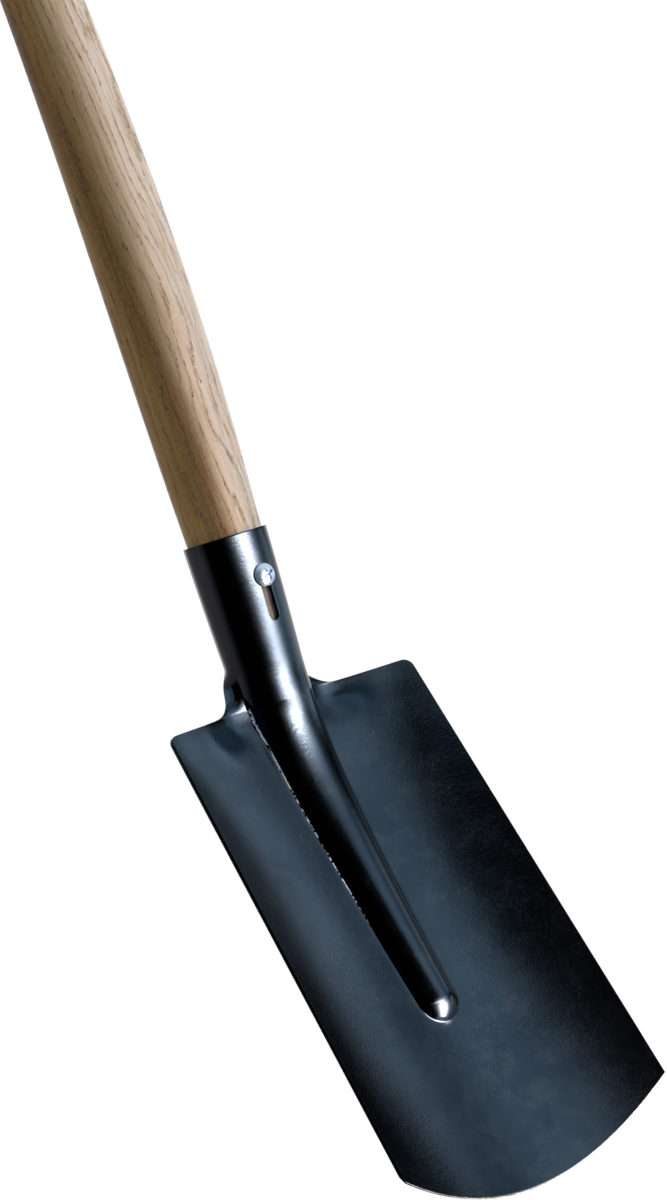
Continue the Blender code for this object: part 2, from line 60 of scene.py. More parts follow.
# Blade, rib and socket. One sheet of carbon steel, pressed to a dish with a raised rib, its neck
# rolled up into an open-backed socket. The screw's slot is pierced before rolling, the cutting
# edge is ground last, and the whole is blued and lacquered.

SHEET = 0.0020
EDGE_LAND = 0.0007
GRIND_WIDTH = 0.0045
SHOULDER_WIDTH = 0.1570
FLARE = 0.0166
SIDE_LENGTH = 0.2423
EDGE_BULGE = 0.0230
CORNER_RADIUS = 0.0045
LIFT = math.radians(19.8)
SHOULDER_DISH = 0.0100
BLADE_DISH = 0.0192
DISH_RUN = 0.040
HOLLOW_DEPTH = 0.0048
HOLLOW_PLACE = 0.031
HOLLOW_SPREAD = 0.015
HOLLOW_RUN = 0.014
RIB_TOP_HALF_WIDTH = 0.0192
RIB_TIP_HALF_WIDTH = 0.0110
RIB_TOP_HEIGHT = 0.0170
RIB_HEIGHT = 0.0070
RIB_FALL_RUN = 0.050
RIB_LENGTH = 0.174
RIB_TIP_LENGTH = 0.0115
RIB_TIP_BLUNTNESS = 0.25
RIB_FOOT_SOFTNESS = 0.0008
EVEN_BELOW = 0.100
SOCKET_LENGTH = 0.0835
SOCKET_MOUTH_RADIUS = 0.0211
SOCKET_TAPER = 0.0028
SOCKET_TAPER_POWER = 1.35
SOCKET_AXIS_BACK = 0.0122
SEAM_GAP = 0.0024
ROLL_HEIGHT = 0.0222
THROAT_HALF_WIDTH = 0.0385
THROAT_FILLET = 0.0100
WAIST_FLANGE = 0.0102
SEAM_CLOSES_AT = 0.047
FOOT_ANGLE = math.radians(84)
SLOT_WIDTH = 0.0060
SLOT_BOTTOM = 0.0381
SLOT_REACH = 0.0050
SLOT_CORNER = 0.8
SCREW_HEIGHT = 0.0606
RIM_ROUNDING = 0.00045
RIM_ANGLE = math.radians(50)

RIB_COLUMNS = 39
FLANGE_COLUMNS = 16
FLANGE_WIDENING = 1.5
WING_COLUMNS = 20
CORNER_COLUMNS = 6
SHOULDER_ROWS = 27
SHOULDER_WIDENING = 1.3
BLADE_ROWS = 56
TIP_ROWS = 25
LOWER_ROWS = 44
GRIND_ROWS = 5
FILLET_ROWS = 11
ROLL_ROWS = 19
SOCKET_ROWS = 72
SECTION_STEPS = 1600

BEND = math.radians(6.0)
HEAD_PLACE = (0.01401, -0.80012)


def smoothstep(value):
    """0 below 0, 1 above 1, and a cubic between them that starts and ends level."""
    part = np.clip(value, 0.0, 1.0)
    return part * part * (3 - 2 * part)


def socket_radius(height):
    """Mouth radius less a taper that grows as a power of the distance below the mouth."""
    down = 1 - np.clip(height / SOCKET_LENGTH, 0.0, 1.0)
    return SOCKET_MOUTH_RADIUS - SOCKET_TAPER * down**SOCKET_TAPER_POWER


def half_width(along):
    """Half the shoulders' width, plus half the flare by the share of the side's length."""
    return (SHOULDER_WIDTH + FLARE * along / SIDE_LENGTH) / 2


def dish_depth(x, along):
    """A parabola across, which deepens down the blade, plus two Gaussian hollows that flank the
    rib and fade away below the shoulders."""
    deep = SHOULDER_DISH + (BLADE_DISH - SHOULDER_DISH) * (1 - np.exp(-along / DISH_RUN))
    hollow = np.exp(-(((np.abs(x) - HOLLOW_PLACE) / HOLLOW_SPREAD) ** 2))
    fading = np.exp(-((np.maximum(along, 0.0) / HOLLOW_RUN) ** 2))
    return deep * (1 - (x / half_width(along)) ** 2) + HOLLOW_DEPTH * hollow * fading


def rib_section(along):
    """Half-width and height of the rib: a straight taper down to its tip, and a height that
    falls exponentially to its value lower down."""
    taper = (RIB_TOP_HALF_WIDTH - RIB_TIP_HALF_WIDTH) / RIB_LENGTH
    half = RIB_TOP_HALF_WIDTH - taper * np.minimum(along, RIB_LENGTH)
    high = RIB_HEIGHT + (RIB_TOP_HEIGHT - RIB_HEIGHT) * np.exp(-along / RIB_FALL_RUN)
    return half, high


def into_tip(along):
    """0 above the rib's tip, then rising in proportion to 1 at its end."""
    return np.maximum((along - RIB_LENGTH) / RIB_TIP_LENGTH + 1, 0.0)


def rib_height(x, along):
    """A circular arc over the distance from the rib's middle line, or from the tip's start, and
    its own tangent beyond the foot. The positive part is taken with a soft corner."""
    half, high = rib_section(along)
    radius = (half**2 + high**2) / (2 * high)
    outward = half * np.hypot(x / half, into_tip(along))
    inside = np.minimum(outward, half)
    steep = half / np.sqrt(radius**2 - half**2)
    arc = np.sqrt(radius**2 - inside**2) - (radius - high) - steep * (outward - inside)
    return 0.5 * (arc + np.sqrt(arc**2 + RIB_FOOT_SOFTNESS**2))


def front_height(x, along):
    """Rib less dish, plus half the sheet, over the plane through the blade's corners."""
    return rib_height(x, along) - dish_depth(x, along) + SHEET / 2


def blade_point(x, along):
    """Front surface of the blade: down the corner plane by along and forwards square to it."""
    forward = front_height(x, along)
    y = -along * math.sin(LIFT) - forward * math.cos(LIFT)
    z = -along * math.cos(LIFT) + forward * math.sin(LIFT)
    return np.stack([x, y, z], axis=-1)


def blade_start(x):
    """Where the sheet begins: level with the shoulder line, then down a quarter circle."""
    into = np.clip(np.abs(x) - (SHOULDER_WIDTH / 2 - CORNER_RADIUS), 0.0, CORNER_RADIUS)
    drop = CORNER_RADIUS - np.sqrt(CORNER_RADIUS**2 - into**2)
    return front_height(x, 0.0) * math.tan(LIFT) + drop


def edge_length(x):
    """Length down to the cutting edge: the side's length plus a parabola across."""
    return SIDE_LENGTH + EDGE_BULGE * (1 - (x / half_width(SIDE_LENGTH)) ** 2)


def column_places():
    """Places across half the blade: even turns round the rib, then steps that widen to the
    throat, even steps to the corner, and even turns round the corner."""
    turned = np.linspace(0.0, FOOT_ANGLE, RIB_COLUMNS)
    rib = RIB_TOP_HALF_WIDTH * np.sin(turned) / math.sin(FOOT_ANGLE)
    spread = np.linspace(0.0, 1.0, FLANGE_COLUMNS + 1)[1:] ** FLANGE_WIDENING
    flange = RIB_TOP_HALF_WIDTH + (THROAT_HALF_WIDTH - RIB_TOP_HALF_WIDTH) * spread
    corner = SHOULDER_WIDTH / 2 - CORNER_RADIUS
    wing = np.linspace(THROAT_HALF_WIDTH, corner, WING_COLUMNS)[1:]
    turn = corner + CORNER_RADIUS * np.sin(np.linspace(0.0, math.pi / 2, CORNER_COLUMNS + 1)[1:])
    return np.concatenate([rib, flange, wing, turn])


def row_shares():
    """Places down the blade as shares of its length: closer at the shoulders, round the rib's
    tip and over the ground edge."""
    whole = SIDE_LENGTH + EDGE_BULGE
    tip_start = (RIB_LENGTH - RIB_TIP_LENGTH) / whole
    tip_end = RIB_LENGTH / whole
    shoulders = DISH_RUN / whole
    turn = np.sin(np.linspace(0.0, math.pi / 2, TIP_ROWS)[1:])
    grind = 1 - GRIND_WIDTH / whole
    return np.concatenate(
        [
            shoulders * np.linspace(0.0, 1.0, SHOULDER_ROWS) ** SHOULDER_WIDENING,
            np.linspace(shoulders, tip_start, BLADE_ROWS)[1:],
            tip_start + (tip_end - tip_start) * turn,
            np.linspace(tip_end, grind, LOWER_ROWS)[1:],
            np.linspace(grind, 1.0, GRIND_ROWS)[1:],
        ]
    )


def ground_off(share):
    """Taken off the back: nothing above the ground band, then evenly down to the edge's land."""
    band = GRIND_WIDTH / (SIDE_LENGTH + EDGE_BULGE)
    return (SHEET - EDGE_LAND) * np.clip((share - 1 + band) / band, 0.0, 1.0)


def blade_rows(places):
    """Rows of points from the shoulder line to the cutting edge: the rib's columns keep their
    share of its half-width, and the outer ones their share of what is left."""
    share = row_shares()[:, None]
    x_top = places[None, :]
    level = share * (SIDE_LENGTH + EDGE_BULGE)
    half, _ = rib_section(level)
    tip = np.sqrt(np.maximum(1 - into_tip(level) ** 2, RIB_TIP_BLUNTNESS**2))
    past_tip = np.clip((level - RIB_LENGTH) / RIB_TIP_LENGTH, 0.0, 1.0)
    half = half * (tip + (1 - tip) * past_tip)
    start = blade_start(x_top) * np.maximum(1 - level / EVEN_BELOW, 0.0)
    reach = edge_length(x_top * half_width(SIDE_LENGTH) / half_width(0.0))
    wide = half_width(start + share * reach)
    outward = (x_top - RIB_TOP_HALF_WIDTH) / (SHOULDER_WIDTH / 2 - RIB_TOP_HALF_WIDTH)
    on_rib = half * x_top / RIB_TOP_HALF_WIDTH
    x = np.where(x_top < RIB_TOP_HALF_WIDTH, on_rib, half + (wide - half) * outward)
    along = start + share * edge_length(x)
    return blade_point(x, along)


def neck_heights():
    """Heights of the neck's rows: by turns round the throat's fillet, then even steps."""
    turned = np.linspace(0.0, math.pi / 2, FILLET_ROWS)[1:]
    fillet = THROAT_FILLET * (1 - np.cos(turned))
    roll = np.linspace(THROAT_FILLET, ROLL_HEIGHT, ROLL_ROWS)[1:]
    rolled = np.linspace(ROLL_HEIGHT, SOCKET_LENGTH, SOCKET_ROWS)[1:]
    return np.concatenate([fillet, roll, rolled])


def neck_rows(places):
    """Rows of the neck as walks over the sheet: the shoulder line's directions turn into those
    of a circle, row by row, while every column keeps its length from the crown. From where the
    sheet is fully rolled the circle itself is used. Returns points, arc lengths and heights."""
    x = np.linspace(0.0, SHOULDER_WIDTH / 2 - CORNER_RADIUS, SECTION_STEPS)
    section = blade_point(x, blade_start(x))
    steps = np.diff(section, axis=0)
    step = np.hypot(steps[:, 0], steps[:, 1])
    run = np.concatenate([[0.0], np.cumsum(step)])
    middle = (run[1:] + run[:-1]) / 2
    blade_angle = np.arctan2(steps[:, 1], steps[:, 0])
    blade_columns = np.interp(places, x, run)
    foot = blade_columns[RIB_COLUMNS - 1]
    blade_spread = (blade_columns[RIB_COLUMNS:] - foot) / (blade_columns[-1] - foot)
    even_spread = np.linspace(0.0, 1.0, FLANGE_COLUMNS + 1)[1:]
    fillet_run = blade_columns[-1] - FOOT_ANGLE * socket_radius(0.0) - WAIST_FLANGE
    rows = []
    arcs = []
    heights = neck_heights()
    for height in heights:
        radius = socket_radius(height)
        rolled = smoothstep(height / ROLL_HEIGHT)
        closing = smoothstep((height - THROAT_FILLET) / (SEAM_CLOSES_AT - THROAT_FILLET))
        below = max(1 - height / THROAT_FILLET, 0.0)
        waist = FOOT_ANGLE * radius + WAIST_FLANGE
        edge = waist + (math.pi * radius - SEAM_GAP / 2 - waist) * closing
        edge += fillet_run * (1 - math.sqrt(1 - below**2))
        on_rib = radius * np.linspace(0.0, FOOT_ANGLE, RIB_COLUMNS)
        on_rib = blade_columns[:RIB_COLUMNS] + (on_rib - blade_columns[:RIB_COLUMNS]) * rolled
        spread = blade_spread + (even_spread - blade_spread) * rolled
        columns = np.concatenate([on_rib, on_rib[-1] + (edge - on_rib[-1]) * spread])
        angle = blade_angle + (middle / radius - blade_angle) * rolled
        crown = section[0, 1] + (SOCKET_AXIS_BACK - radius - section[0, 1]) * rolled
        across = np.concatenate([[0.0], np.cumsum(step * np.cos(angle))])
        back = np.concatenate([[0.0], np.cumsum(step * np.sin(angle))]) + crown
        level = height + section[:, 2] * (1 - rolled)
        walked = [np.interp(columns, run, values) for values in (across, back, level)]
        rows.append(np.stack(walked, axis=-1))
        arcs.append(columns)
    return np.array(rows), np.array(arcs), heights


def both_sides(rows):
    """Rows of a half sheet with their mirror image in x put before them, the middle kept once."""
    mirrored = rows[:, :0:-1] * np.array([-1.0, 1.0, 1.0])
    return np.concatenate([mirrored, rows], axis=1)


def socket_surface(arc, height):
    """Arc length from the crown and height, wrapped round the socket's tapering circle."""
    radius = socket_radius(height)
    turned = arc / radius
    return np.stack(
        [radius * np.sin(turned), SOCKET_AXIS_BACK - radius * np.cos(turned), height], axis=-1
    )


def open_slot(arc, height):
    """Moves the grid so that the sides of one rectangle of cells lie on the slot's outline: each
    point on the rectangle goes straight out from the slot's middle line to its radius, and the
    points round it follow by less and less. Returns the moved grid and the cells to leave out."""
    radius = SLOT_WIDTH / 2
    low = SLOT_BOTTOM + radius
    corner = SLOT_CORNER * radius
    middle = arc.shape[1] // 2
    row_at = height[:, middle]
    across = np.abs(arc[np.searchsorted(row_at, SCREW_HEIGHT)] - corner)
    half = int(np.argmin(across)) - middle
    first = int(np.argmin(np.abs(row_at - (low - corner))))
    last = int(np.argmin(np.abs(row_at - (SCREW_HEIGHT + corner))))
    rows, columns = np.meshgrid(*map(np.arange, arc.shape), indexing="ij")
    near_row = np.clip(rows, first, last)
    near_column = np.clip(columns, middle - half, middle + half)
    from_arc = arc[near_row, near_column]
    from_height = height[near_row, near_column]
    core = np.clip(from_height, low, SCREW_HEIGHT)
    long = np.maximum(np.hypot(from_arc, from_height - core), 1e-9)
    fade_across = 1 - smoothstep(np.abs(arc - from_arc) / SLOT_REACH)
    fade_along = 1 - smoothstep(np.abs(height - from_height) / SLOT_REACH)
    fade = fade_across * fade_along
    moved_arc = arc + fade * from_arc * (radius / long - 1)
    moved_height = height + fade * (from_height - core) * (radius / long - 1)
    inside = np.zeros(np.array(arc.shape) - 1, bool)
    inside[first:last, middle - half : middle + half] = True
    return moved_arc, moved_height, inside


def quads(index):
    """Faces of a grid of point numbers, each from four neighbours. They face -Y when the rows
    run upwards and the columns to +X."""
    corners = [index[:-1, :-1], index[:-1, 1:], index[1:, 1:], index[1:, :-1]]
    return np.stack(corners, axis=-1)


def head_sheet():
    """Front surface of the whole sheet: points, faces, and for each point what is ground off and
    how far it lies to the right of the rib's left foot."""
    places = column_places()
    blade = both_sides(blade_rows(places))
    inner = RIB_COLUMNS + FLANGE_COLUMNS
    half_rows, half_arcs, heights = neck_rows(places[:inner])
    neck = both_sides(half_rows)
    arc = np.concatenate([-half_arcs[:, :0:-1], half_arcs], axis=1)
    rolled = heights > ROLL_HEIGHT - 1e-9
    height = np.repeat(heights[rolled][:, None], arc.shape[1], axis=1)
    moved_arc, moved_height, inside = open_slot(arc[rolled], height)
    neck[rolled] = socket_surface(moved_arc, moved_height)
    blade_index = np.arange(blade[:, :, 0].size).reshape(blade.shape[:2])
    neck_index = blade_index.size + np.arange(neck[:, :, 0].size).reshape(neck.shape[:2])
    wing = len(places) - inner
    joined = np.concatenate([blade_index[:1, wing:-wing], neck_index])
    neck_faces = quads(joined)
    first_rolled = len(heights) - rolled.sum() + 1
    kept = np.ones(neck_faces.shape[:2], bool)
    kept[first_rolled:] = ~inside
    faces = np.concatenate([quads(blade_index)[..., ::-1].reshape(-1, 4), neck_faces[kept]])
    ground = np.zeros(blade_index.size + neck_index.size)
    ground[: blade_index.size] = np.repeat(ground_off(row_shares()), blade.shape[1])
    left_foot = len(places) - RIB_COLUMNS
    foot = np.ones(ground.size)
    foot[: blade_index.size] = (blade[:, :, 0] - blade[:, left_foot, None, 0]).ravel()
    points = np.concatenate([blade.reshape(-1, 3), neck.reshape(-1, 3)])
    used, numbers = np.unique(faces, return_inverse=True)
    return points[used], numbers.reshape(faces.shape), ground[used], foot[used]


def into_world(points):
    """Turns points of the head by the shaft's bend about X and puts its frame in place."""
    turn = np.array(Matrix.Rotation(BEND, 3, "X"))
    return points @ turn.T + np.array([0.0, *HEAD_PLACE])


def add_mesh(name, points, faces):
    """A smooth-shaded object at the origin, from world points and faces."""
    mesh = bpy.data.meshes.new(name)
    mesh.from_pydata(points.tolist(), [], faces if isinstance(faces, list) else faces.tolist())
    mesh.shade_smooth()
    piece = bpy.data.objects.new(name, mesh)
    bpy.context.scene.collection.objects.link(piece)
    return piece


def add_attribute(piece, name, values):
    """One number or vector for each point of the mesh, which its material can read."""
    kind, field = ("FLOAT", "value") if values.ndim == 1 else ("FLOAT_VECTOR", "vector")
    attribute = piece.data.attributes.new(name, kind, "POINT")
    attribute.data.foreach_set(field, values.astype(np.float32).ravel())


head_points, head_faces, head_ground, head_foot = head_sheet()
pressed_head = add_mesh("pressed_head", into_world(head_points), head_faces)
add_attribute(pressed_head, "pressed", head_points)
add_attribute(pressed_head, "ground", head_ground / head_ground.max())
add_attribute(pressed_head, "foot", head_foot)
sheet_group = pressed_head.vertex_groups.new(name="sheet")
for amount in np.unique(head_ground):
    members = np.flatnonzero(head_ground == amount).tolist()
    sheet_group.add(members, float(1 - amount / SHEET), "REPLACE")
wall = pressed_head.modifiers.new("sheet", "SOLIDIFY")
wall.thickness = SHEET
wall.offset = -1.0
wall.use_even_offset = True
wall.vertex_group = "sheet"
rim = pressed_head.modifiers.new("rim", "BEVEL")
rim.width = RIM_ROUNDING
rim.segments = 2
rim.limit_method = "ANGLE"
rim.angle_limit = RIM_ANGLE
rim.harden_normals = False


class Value:
    """One output of a shader node. Arithmetic on it adds the Math nodes that work it out."""

    def __init__(self, tree, socket):
        self.tree = tree
        self.socket = socket

    def node(self, kind, settings=None, values=None, output=0):
        """Adds a node of that type beside this one; see add_node."""
        return add_node(self.tree, kind, settings, values, output)

    def math(self, operation, *values):
        return self.node("ShaderNodeMath", {"operation": operation}, dict(enumerate(values)))

    def __add__(self, other):
        return self.math("ADD", self, other)

    __radd__ = __add__

    def __sub__(self, other):
        return self.math("SUBTRACT", self, other)

    def __rsub__(self, other):
        return self.math("SUBTRACT", other, self)

    def __mul__(self, other):
        return self.math("MULTIPLY", self, other)

    __rmul__ = __mul__

    def __truediv__(self, other):
        return self.math("DIVIDE", self, other)

    def __pow__(self, other):
        return self.math("POWER", self, other)

    def __rpow__(self, other):
        return self.math("POWER", other, self)

    def __abs__(self):
        return self.math("ABSOLUTE", self)

    def larger(self, other):
        """The larger of this value and another."""
        return self.math("MAXIMUM", self, other)

    def part(self, axis):
        """One part of a vector: 0 for x, 1 for y and 2 for z."""
        return self.node("ShaderNodeSeparateXYZ", None, {0: self}, axis)

    def between(self, low, high):
        """0 at low and below, 1 at high and above, and even between them."""
        return self.node("ShaderNodeMapRange", {"clamp": True}, {0: self, 1: low, 2: high})

    def blend(self, start, end):
        """The colour start where this value is 0 and end where it is 1."""
        settings = {"data_type": "RGBA", "clamp_factor": True}
        return self.node("ShaderNodeMix", settings, {0: self, 6: start, 7: end}, 2)


def add_node(tree, kind, settings=None, values=None, output=0):
    """Adds a node of a type: its settings are set first, then each socket, by number or name,
    gets its value or its link."""
    node = tree.nodes.new(kind)
    for name, setting in (settings or {}).items():
        setattr(node, name, setting)
    for name, value in (values or {}).items():
        if isinstance(value, Value):
            tree.links.new(value.socket, node.inputs[name])
        elif isinstance(value, tuple) and len(value) == 3 and node.inputs[name].type == "RGBA":
            node.inputs[name].default_value = (*value, 1.0)
        else:
            node.inputs[name].default_value = value
    return Value(tree, node.outputs[output]) if node.outputs else None


def new_finish(name):
    """An empty material and its tree, for a finish worked out below."""
    made = bpy.data.materials.new(name)
    made.use_nodes = True
    made.node_tree.nodes.clear()
    return made, made.node_tree


def put_on(piece, finish, tree, shader):
    """Closes the finish with its shader and gives it to the piece."""
    add_node(tree, "ShaderNodeOutputMaterial", None, {"Surface": shader})
    piece.data.materials.clear()
    piece.data.materials.append(finish)


def surface(tree, values):
    """A Principled shader with those values."""
    return add_node(tree, "ShaderNodeBsdfPrincipled", None, values)


def attribute(tree, name, output):
    """What the mesh holds under a name: output 1 gives a vector and output 2 a number."""
    return add_node(tree, "ShaderNodeAttribute", {"attribute_name": name}, None, output)


def coordinates(tree, output):
    """Output 1 gives the direction that the surface faces, and output 3 its place in metres."""
    return add_node(tree, "ShaderNodeTexCoord", None, None, output)


def noise(tree, place, scale, detail, roughness):
    """Noise from 0 to 1 over a vector, at so many features a metre."""
    values = {"Vector": place, "Scale": scale, "Detail": detail, "Roughness": roughness}
    return add_node(tree, "ShaderNodeTexNoise", {"noise_dimensions": "3D"}, values)


def relief(tree, strength, distance, height):
    """Fine relief for a Normal socket: a height from 0 to 1 over a distance in metres."""
    values = {"Strength": strength, "Distance": distance, "Height": height}
    return add_node(tree, "ShaderNodeBump", None, values)


# Colours of the bluing, features a metre of its patterns, and places on the head in metres: from
# the middle, from the rib's left foot, or down from the shoulder line, where a fade starts and
# ends. The haze is painted light: it lightens a dark reflection of the neck under the shoulders,
# and the real spade doesn't show it. The light dashes along the rib's left foot are a painted
# highlight of that crease.

LACQUER_DEEP = (0.029, 0.051, 0.078)
LACQUER_CLOUD = (0.042, 0.072, 0.106)
LACQUER_MOTTLE = (0.052, 0.080, 0.108)
# The next colour is painted light, which lightens a dark reflection under the shoulders.
PAINTED_LIGHT_HAZE = (0.030, 0.065, 0.105)
DUST = (0.18, 0.22, 0.25)
# The next colour is a painted highlight, for the dashes along the rib's left foot.
PAINTED_CREASE_HIGHLIGHT = (0.74, 0.86, 0.98)
GROUND_STEEL = (0.34, 0.39, 0.43)
CLOUDS = 14.0
WORN_PATCHES = 24.0
MOTTLES = 90.0
DASHES = 520.0
PEEL = 640.0
SPECKS = 1100.0
DASH_PLACE = 0.0001
DASH_WIDTH = (0.0001, 0.0004)
DASHES_END = (0.095, 0.120)
PAINTED_LIGHT_PLACE = 0.041
PAINTED_LIGHT_WIDTH = (0.006, 0.018)
PAINTED_LIGHT_TOP = (0.0, 0.004)
PAINTED_LIGHT_BOTTOM = (0.012, 0.026)
PAINTED_LIGHT_SHARE = 0.27
LACQUER_GLOSS = 0.075
LACQUER_RELIEF = 0.00008

blued, tree = new_finish("blued_lacquer")
place = attribute(tree, "pressed", 1)
ground = attribute(tree, "ground", 2)
foot = attribute(tree, "foot", 2)
down = -1.0 * place.part(2)
back = coordinates(tree, 1).part(1).between(-0.1, 0.1)
cloud = noise(tree, place, CLOUDS, 4.0, 0.55)
mottle = noise(tree, place, MOTTLES, 3.0, 0.60)
specks = noise(tree, place, SPECKS, 2.0, 0.6)
wear = noise(tree, place, WORN_PATCHES, 2.0, 0.5)
peel = noise(tree, place, PEEL, 3.0, 0.70)
blue = cloud.between(0.38, 0.62).blend(LACQUER_DEEP, LACQUER_CLOUD)
blue = (mottle.between(0.48, 0.74) * 0.8).blend(blue, LACQUER_MOTTLE)
dust = specks.between(0.62, 0.70) * wear.between(0.44, 0.60)
bare = ground.between(0.04, 0.12) * back + ground.between(0.74, 0.86) * (1 - back)
# Painted highlight: light, rough, non-metallic dashes along the rib's left foot, fading out down
# the blade, stand for the crease catching the light.
dashes = noise(tree, place, DASHES, 2.0, 0.6).between(0.44, 0.54)
dashes = dashes * (1 - down.between(*DASHES_END))
painted_crease_highlight = dashes * (1 - abs(foot + DASH_PLACE).between(*DASH_WIDTH)) * (1 - back)
# Painted light: a lighter, less metallic patch in the hollows under the shoulders, beside the rib.
painted_light_haze = 1 - abs(abs(place.part(0)) - PAINTED_LIGHT_PLACE).between(*PAINTED_LIGHT_WIDTH)
painted_light_haze = painted_light_haze * down.between(*PAINTED_LIGHT_TOP) * (1 - down.between(*PAINTED_LIGHT_BOTTOM)) * (1 - back)
colour = (dust * 0.45).blend(blue, DUST)
colour = painted_light_haze.blend(colour, PAINTED_LIGHT_HAZE)
colour = painted_crease_highlight.blend(colour, PAINTED_CREASE_HIGHLIGHT)
colour = bare.blend(colour, GROUND_STEEL)
patches = peel.between(0.40, 0.75) * mottle.between(0.35, 0.65)
gloss = LACQUER_GLOSS + 0.06 * cloud + 0.09 * patches + 0.06 * bare + 0.25 * painted_crease_highlight
height = peel + 0.5 * mottle + 0.3 * specks
steel = {
    "Base Color": colour,
    "Metallic": 1 - painted_crease_highlight.larger(painted_light_haze * PAINTED_LIGHT_SHARE),
    "Roughness": gloss,
    "Normal": relief(tree, 0.5, LACQUER_RELIEF, height),
}
put_on(pressed_head, blued, tree, surface(tree, steel))
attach(pressed_head, "root")
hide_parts("blade_and_socket")


# Shaft. One length of straight-grained ash, turned to a belly above the socket, steam-bent a
# little, tapered into the socket and shouldered to a round tenon for the grip. Sanded and oiled.

GRIP_REACH = 0.800
BEND_START = 0.130
BEND_RUN = 0.240
SHAFT_TOE = 0.012
TOE_CHAMFER = 0.003
BELLY_HEIGHT = 0.200
BELLY_RADIUS = 0.0212
BELLY_SPREAD = 0.209
HAND_RADIUS = 0.0170
NECK_LENGTH = 0.070
NECK_RADIUS = 0.0130
TENON_RADIUS = 0.0107
GRIP_LENGTH = 0.140
GRIP_MIDDLE_RADIUS = 0.0165
GRIP_END_RADIUS = 0.0138
GRIP_ROUNDING = 0.0060
GRIP_SEAT_DEPTH = 0.0020
WEDGE_THICKNESS = 0.0030
WEDGE_TIP = 0.0008
WEDGE_LENGTH = 0.020
PIN_RADIUS = 0.0025
PIN_DROP = 0.0095
SCREW_RADIUS = 0.0023
SCREW_LENGTH = 0.030
FIT = 0.0003
TENON_RISE = 0.010
CAP_CENTRE = 0.02
CUT_PAST = 0.004
KERF_PAST = 0.005
KERF_REACH = 0.014
BORE_REACH = 0.03
SHARP_ANGLE = math.radians(40)

SHAFT_SIDES = 96
SCREW_HOLE_SIDES = 32
PIN_HOLE_SIDES = 48
SWELL_RINGS = 60
HAND_RINGS = 170
SHOULDER_RINGS = 3
TENON_RINGS = 12
CAP_RINGS = 8
GRIP_SEAT = GRIP_MIDDLE_RADIUS - GRIP_SEAT_DEPTH


def centre_line(distance):
    """Distance down from the grip to y and z: straight, then an arc of the bend's radius, then
    straight on."""
    start = GRIP_REACH - BEND_START - BEND_RUN
    radius = BEND_RUN / BEND
    turned = np.clip(distance - start, 0.0, BEND_RUN) / radius
    rest = np.maximum(distance - start - BEND_RUN, 0.0)
    y = radius * (1 - np.cos(turned)) + rest * math.sin(BEND)
    z = -np.minimum(distance, start) - radius * np.sin(turned) - rest * math.cos(BEND)
    return y, z, turned


def shaft_radius(height):
    """Radius by height: the socket's inside below its mouth, a parabola up to the belly, a bell
    curve down to the hand's size, and a smooth step to the neck under the grip."""
    mouth = socket_radius(SOCKET_LENGTH) - SHEET - FIT
    chamfer = np.maximum(SHAFT_TOE + TOE_CHAMFER - height, 0.0)
    tapered = socket_radius(height) - SHEET - FIT - chamfer
    share = (height - SOCKET_LENGTH) / (BELLY_HEIGHT - SOCKET_LENGTH)
    rising = mouth + (BELLY_RADIUS - mouth) * (1 - (1 - share) ** 2)
    swell = np.exp(-(((height - BELLY_HEIGHT) / BELLY_SPREAD) ** 2))
    hand = HAND_RADIUS + (BELLY_RADIUS - HAND_RADIUS) * swell
    shoulder = GRIP_REACH - GRIP_SEAT
    hand = hand + (NECK_RADIUS - hand) * smoothstep((height - shoulder + NECK_LENGTH) / NECK_LENGTH)
    lower = np.where(height <= SOCKET_LENGTH, tapered, rising)
    return np.where(height <= BELLY_HEIGHT, lower, hand)


def barrel_radius(x):
    """Radius of the grip: a half cosine from its middle to its ends, which are quarter rounds."""
    straight = GRIP_LENGTH / 2 - GRIP_ROUNDING
    out = np.minimum(np.abs(x) / straight, 1.0)
    swell = (GRIP_MIDDLE_RADIUS - GRIP_END_RADIUS) * np.cos(out * math.pi / 2)
    past = np.clip((np.abs(x) - straight) / GRIP_ROUNDING, 0.0, 1.0)
    return GRIP_END_RADIUS + swell - GRIP_ROUNDING * (1 - np.sqrt(1 - past**2))


def ring_faces(rings, sides):
    """Faces between closed rings of points, outwards when the rings run down."""
    index = np.arange(rings * sides).reshape(rings, sides)
    index = np.concatenate([index, index[:, :1]], axis=1)
    return quads(index).reshape(-1, 4)


def turned_piece(name, radii, levels, sides, lay):
    """A profile of radii and levels, from the top down, turned round Z and closed at both ends;
    lay puts its points where the piece belongs."""
    turn = np.linspace(0.0, 2 * math.pi, sides, endpoint=False)
    radii = np.asarray(radii)[:, None]
    levels = np.asarray(levels)[:, None]
    rings = np.stack([radii * np.cos(turn), radii * np.sin(turn), levels + 0 * turn], axis=-1)
    faces = ring_faces(len(rings), sides)[:, ::-1].tolist()
    faces.append(list(range(sides)))
    faces.append(list(range((len(rings) - 1) * sides, len(rings) * sides))[::-1])
    piece = add_mesh(name, lay(rings.reshape(-1, 3)), faces)
    piece.data.set_sharp_from_angle(angle=SHARP_ANGLE)
    return piece


def across_y(points):
    """Turns points about Z to lie along Y through the grip, at the pin."""
    return np.stack([points[:, 0], -points[:, 2], points[:, 1] - PIN_DROP], axis=-1)


def on_socket_front(points):
    """Turns points about Z to look out of the socket's front at the screw."""
    in_head = [points[:, 0], SOCKET_AXIS_BACK - points[:, 2], SCREW_HEIGHT + points[:, 1]]
    return into_world(np.stack(in_head, axis=-1))


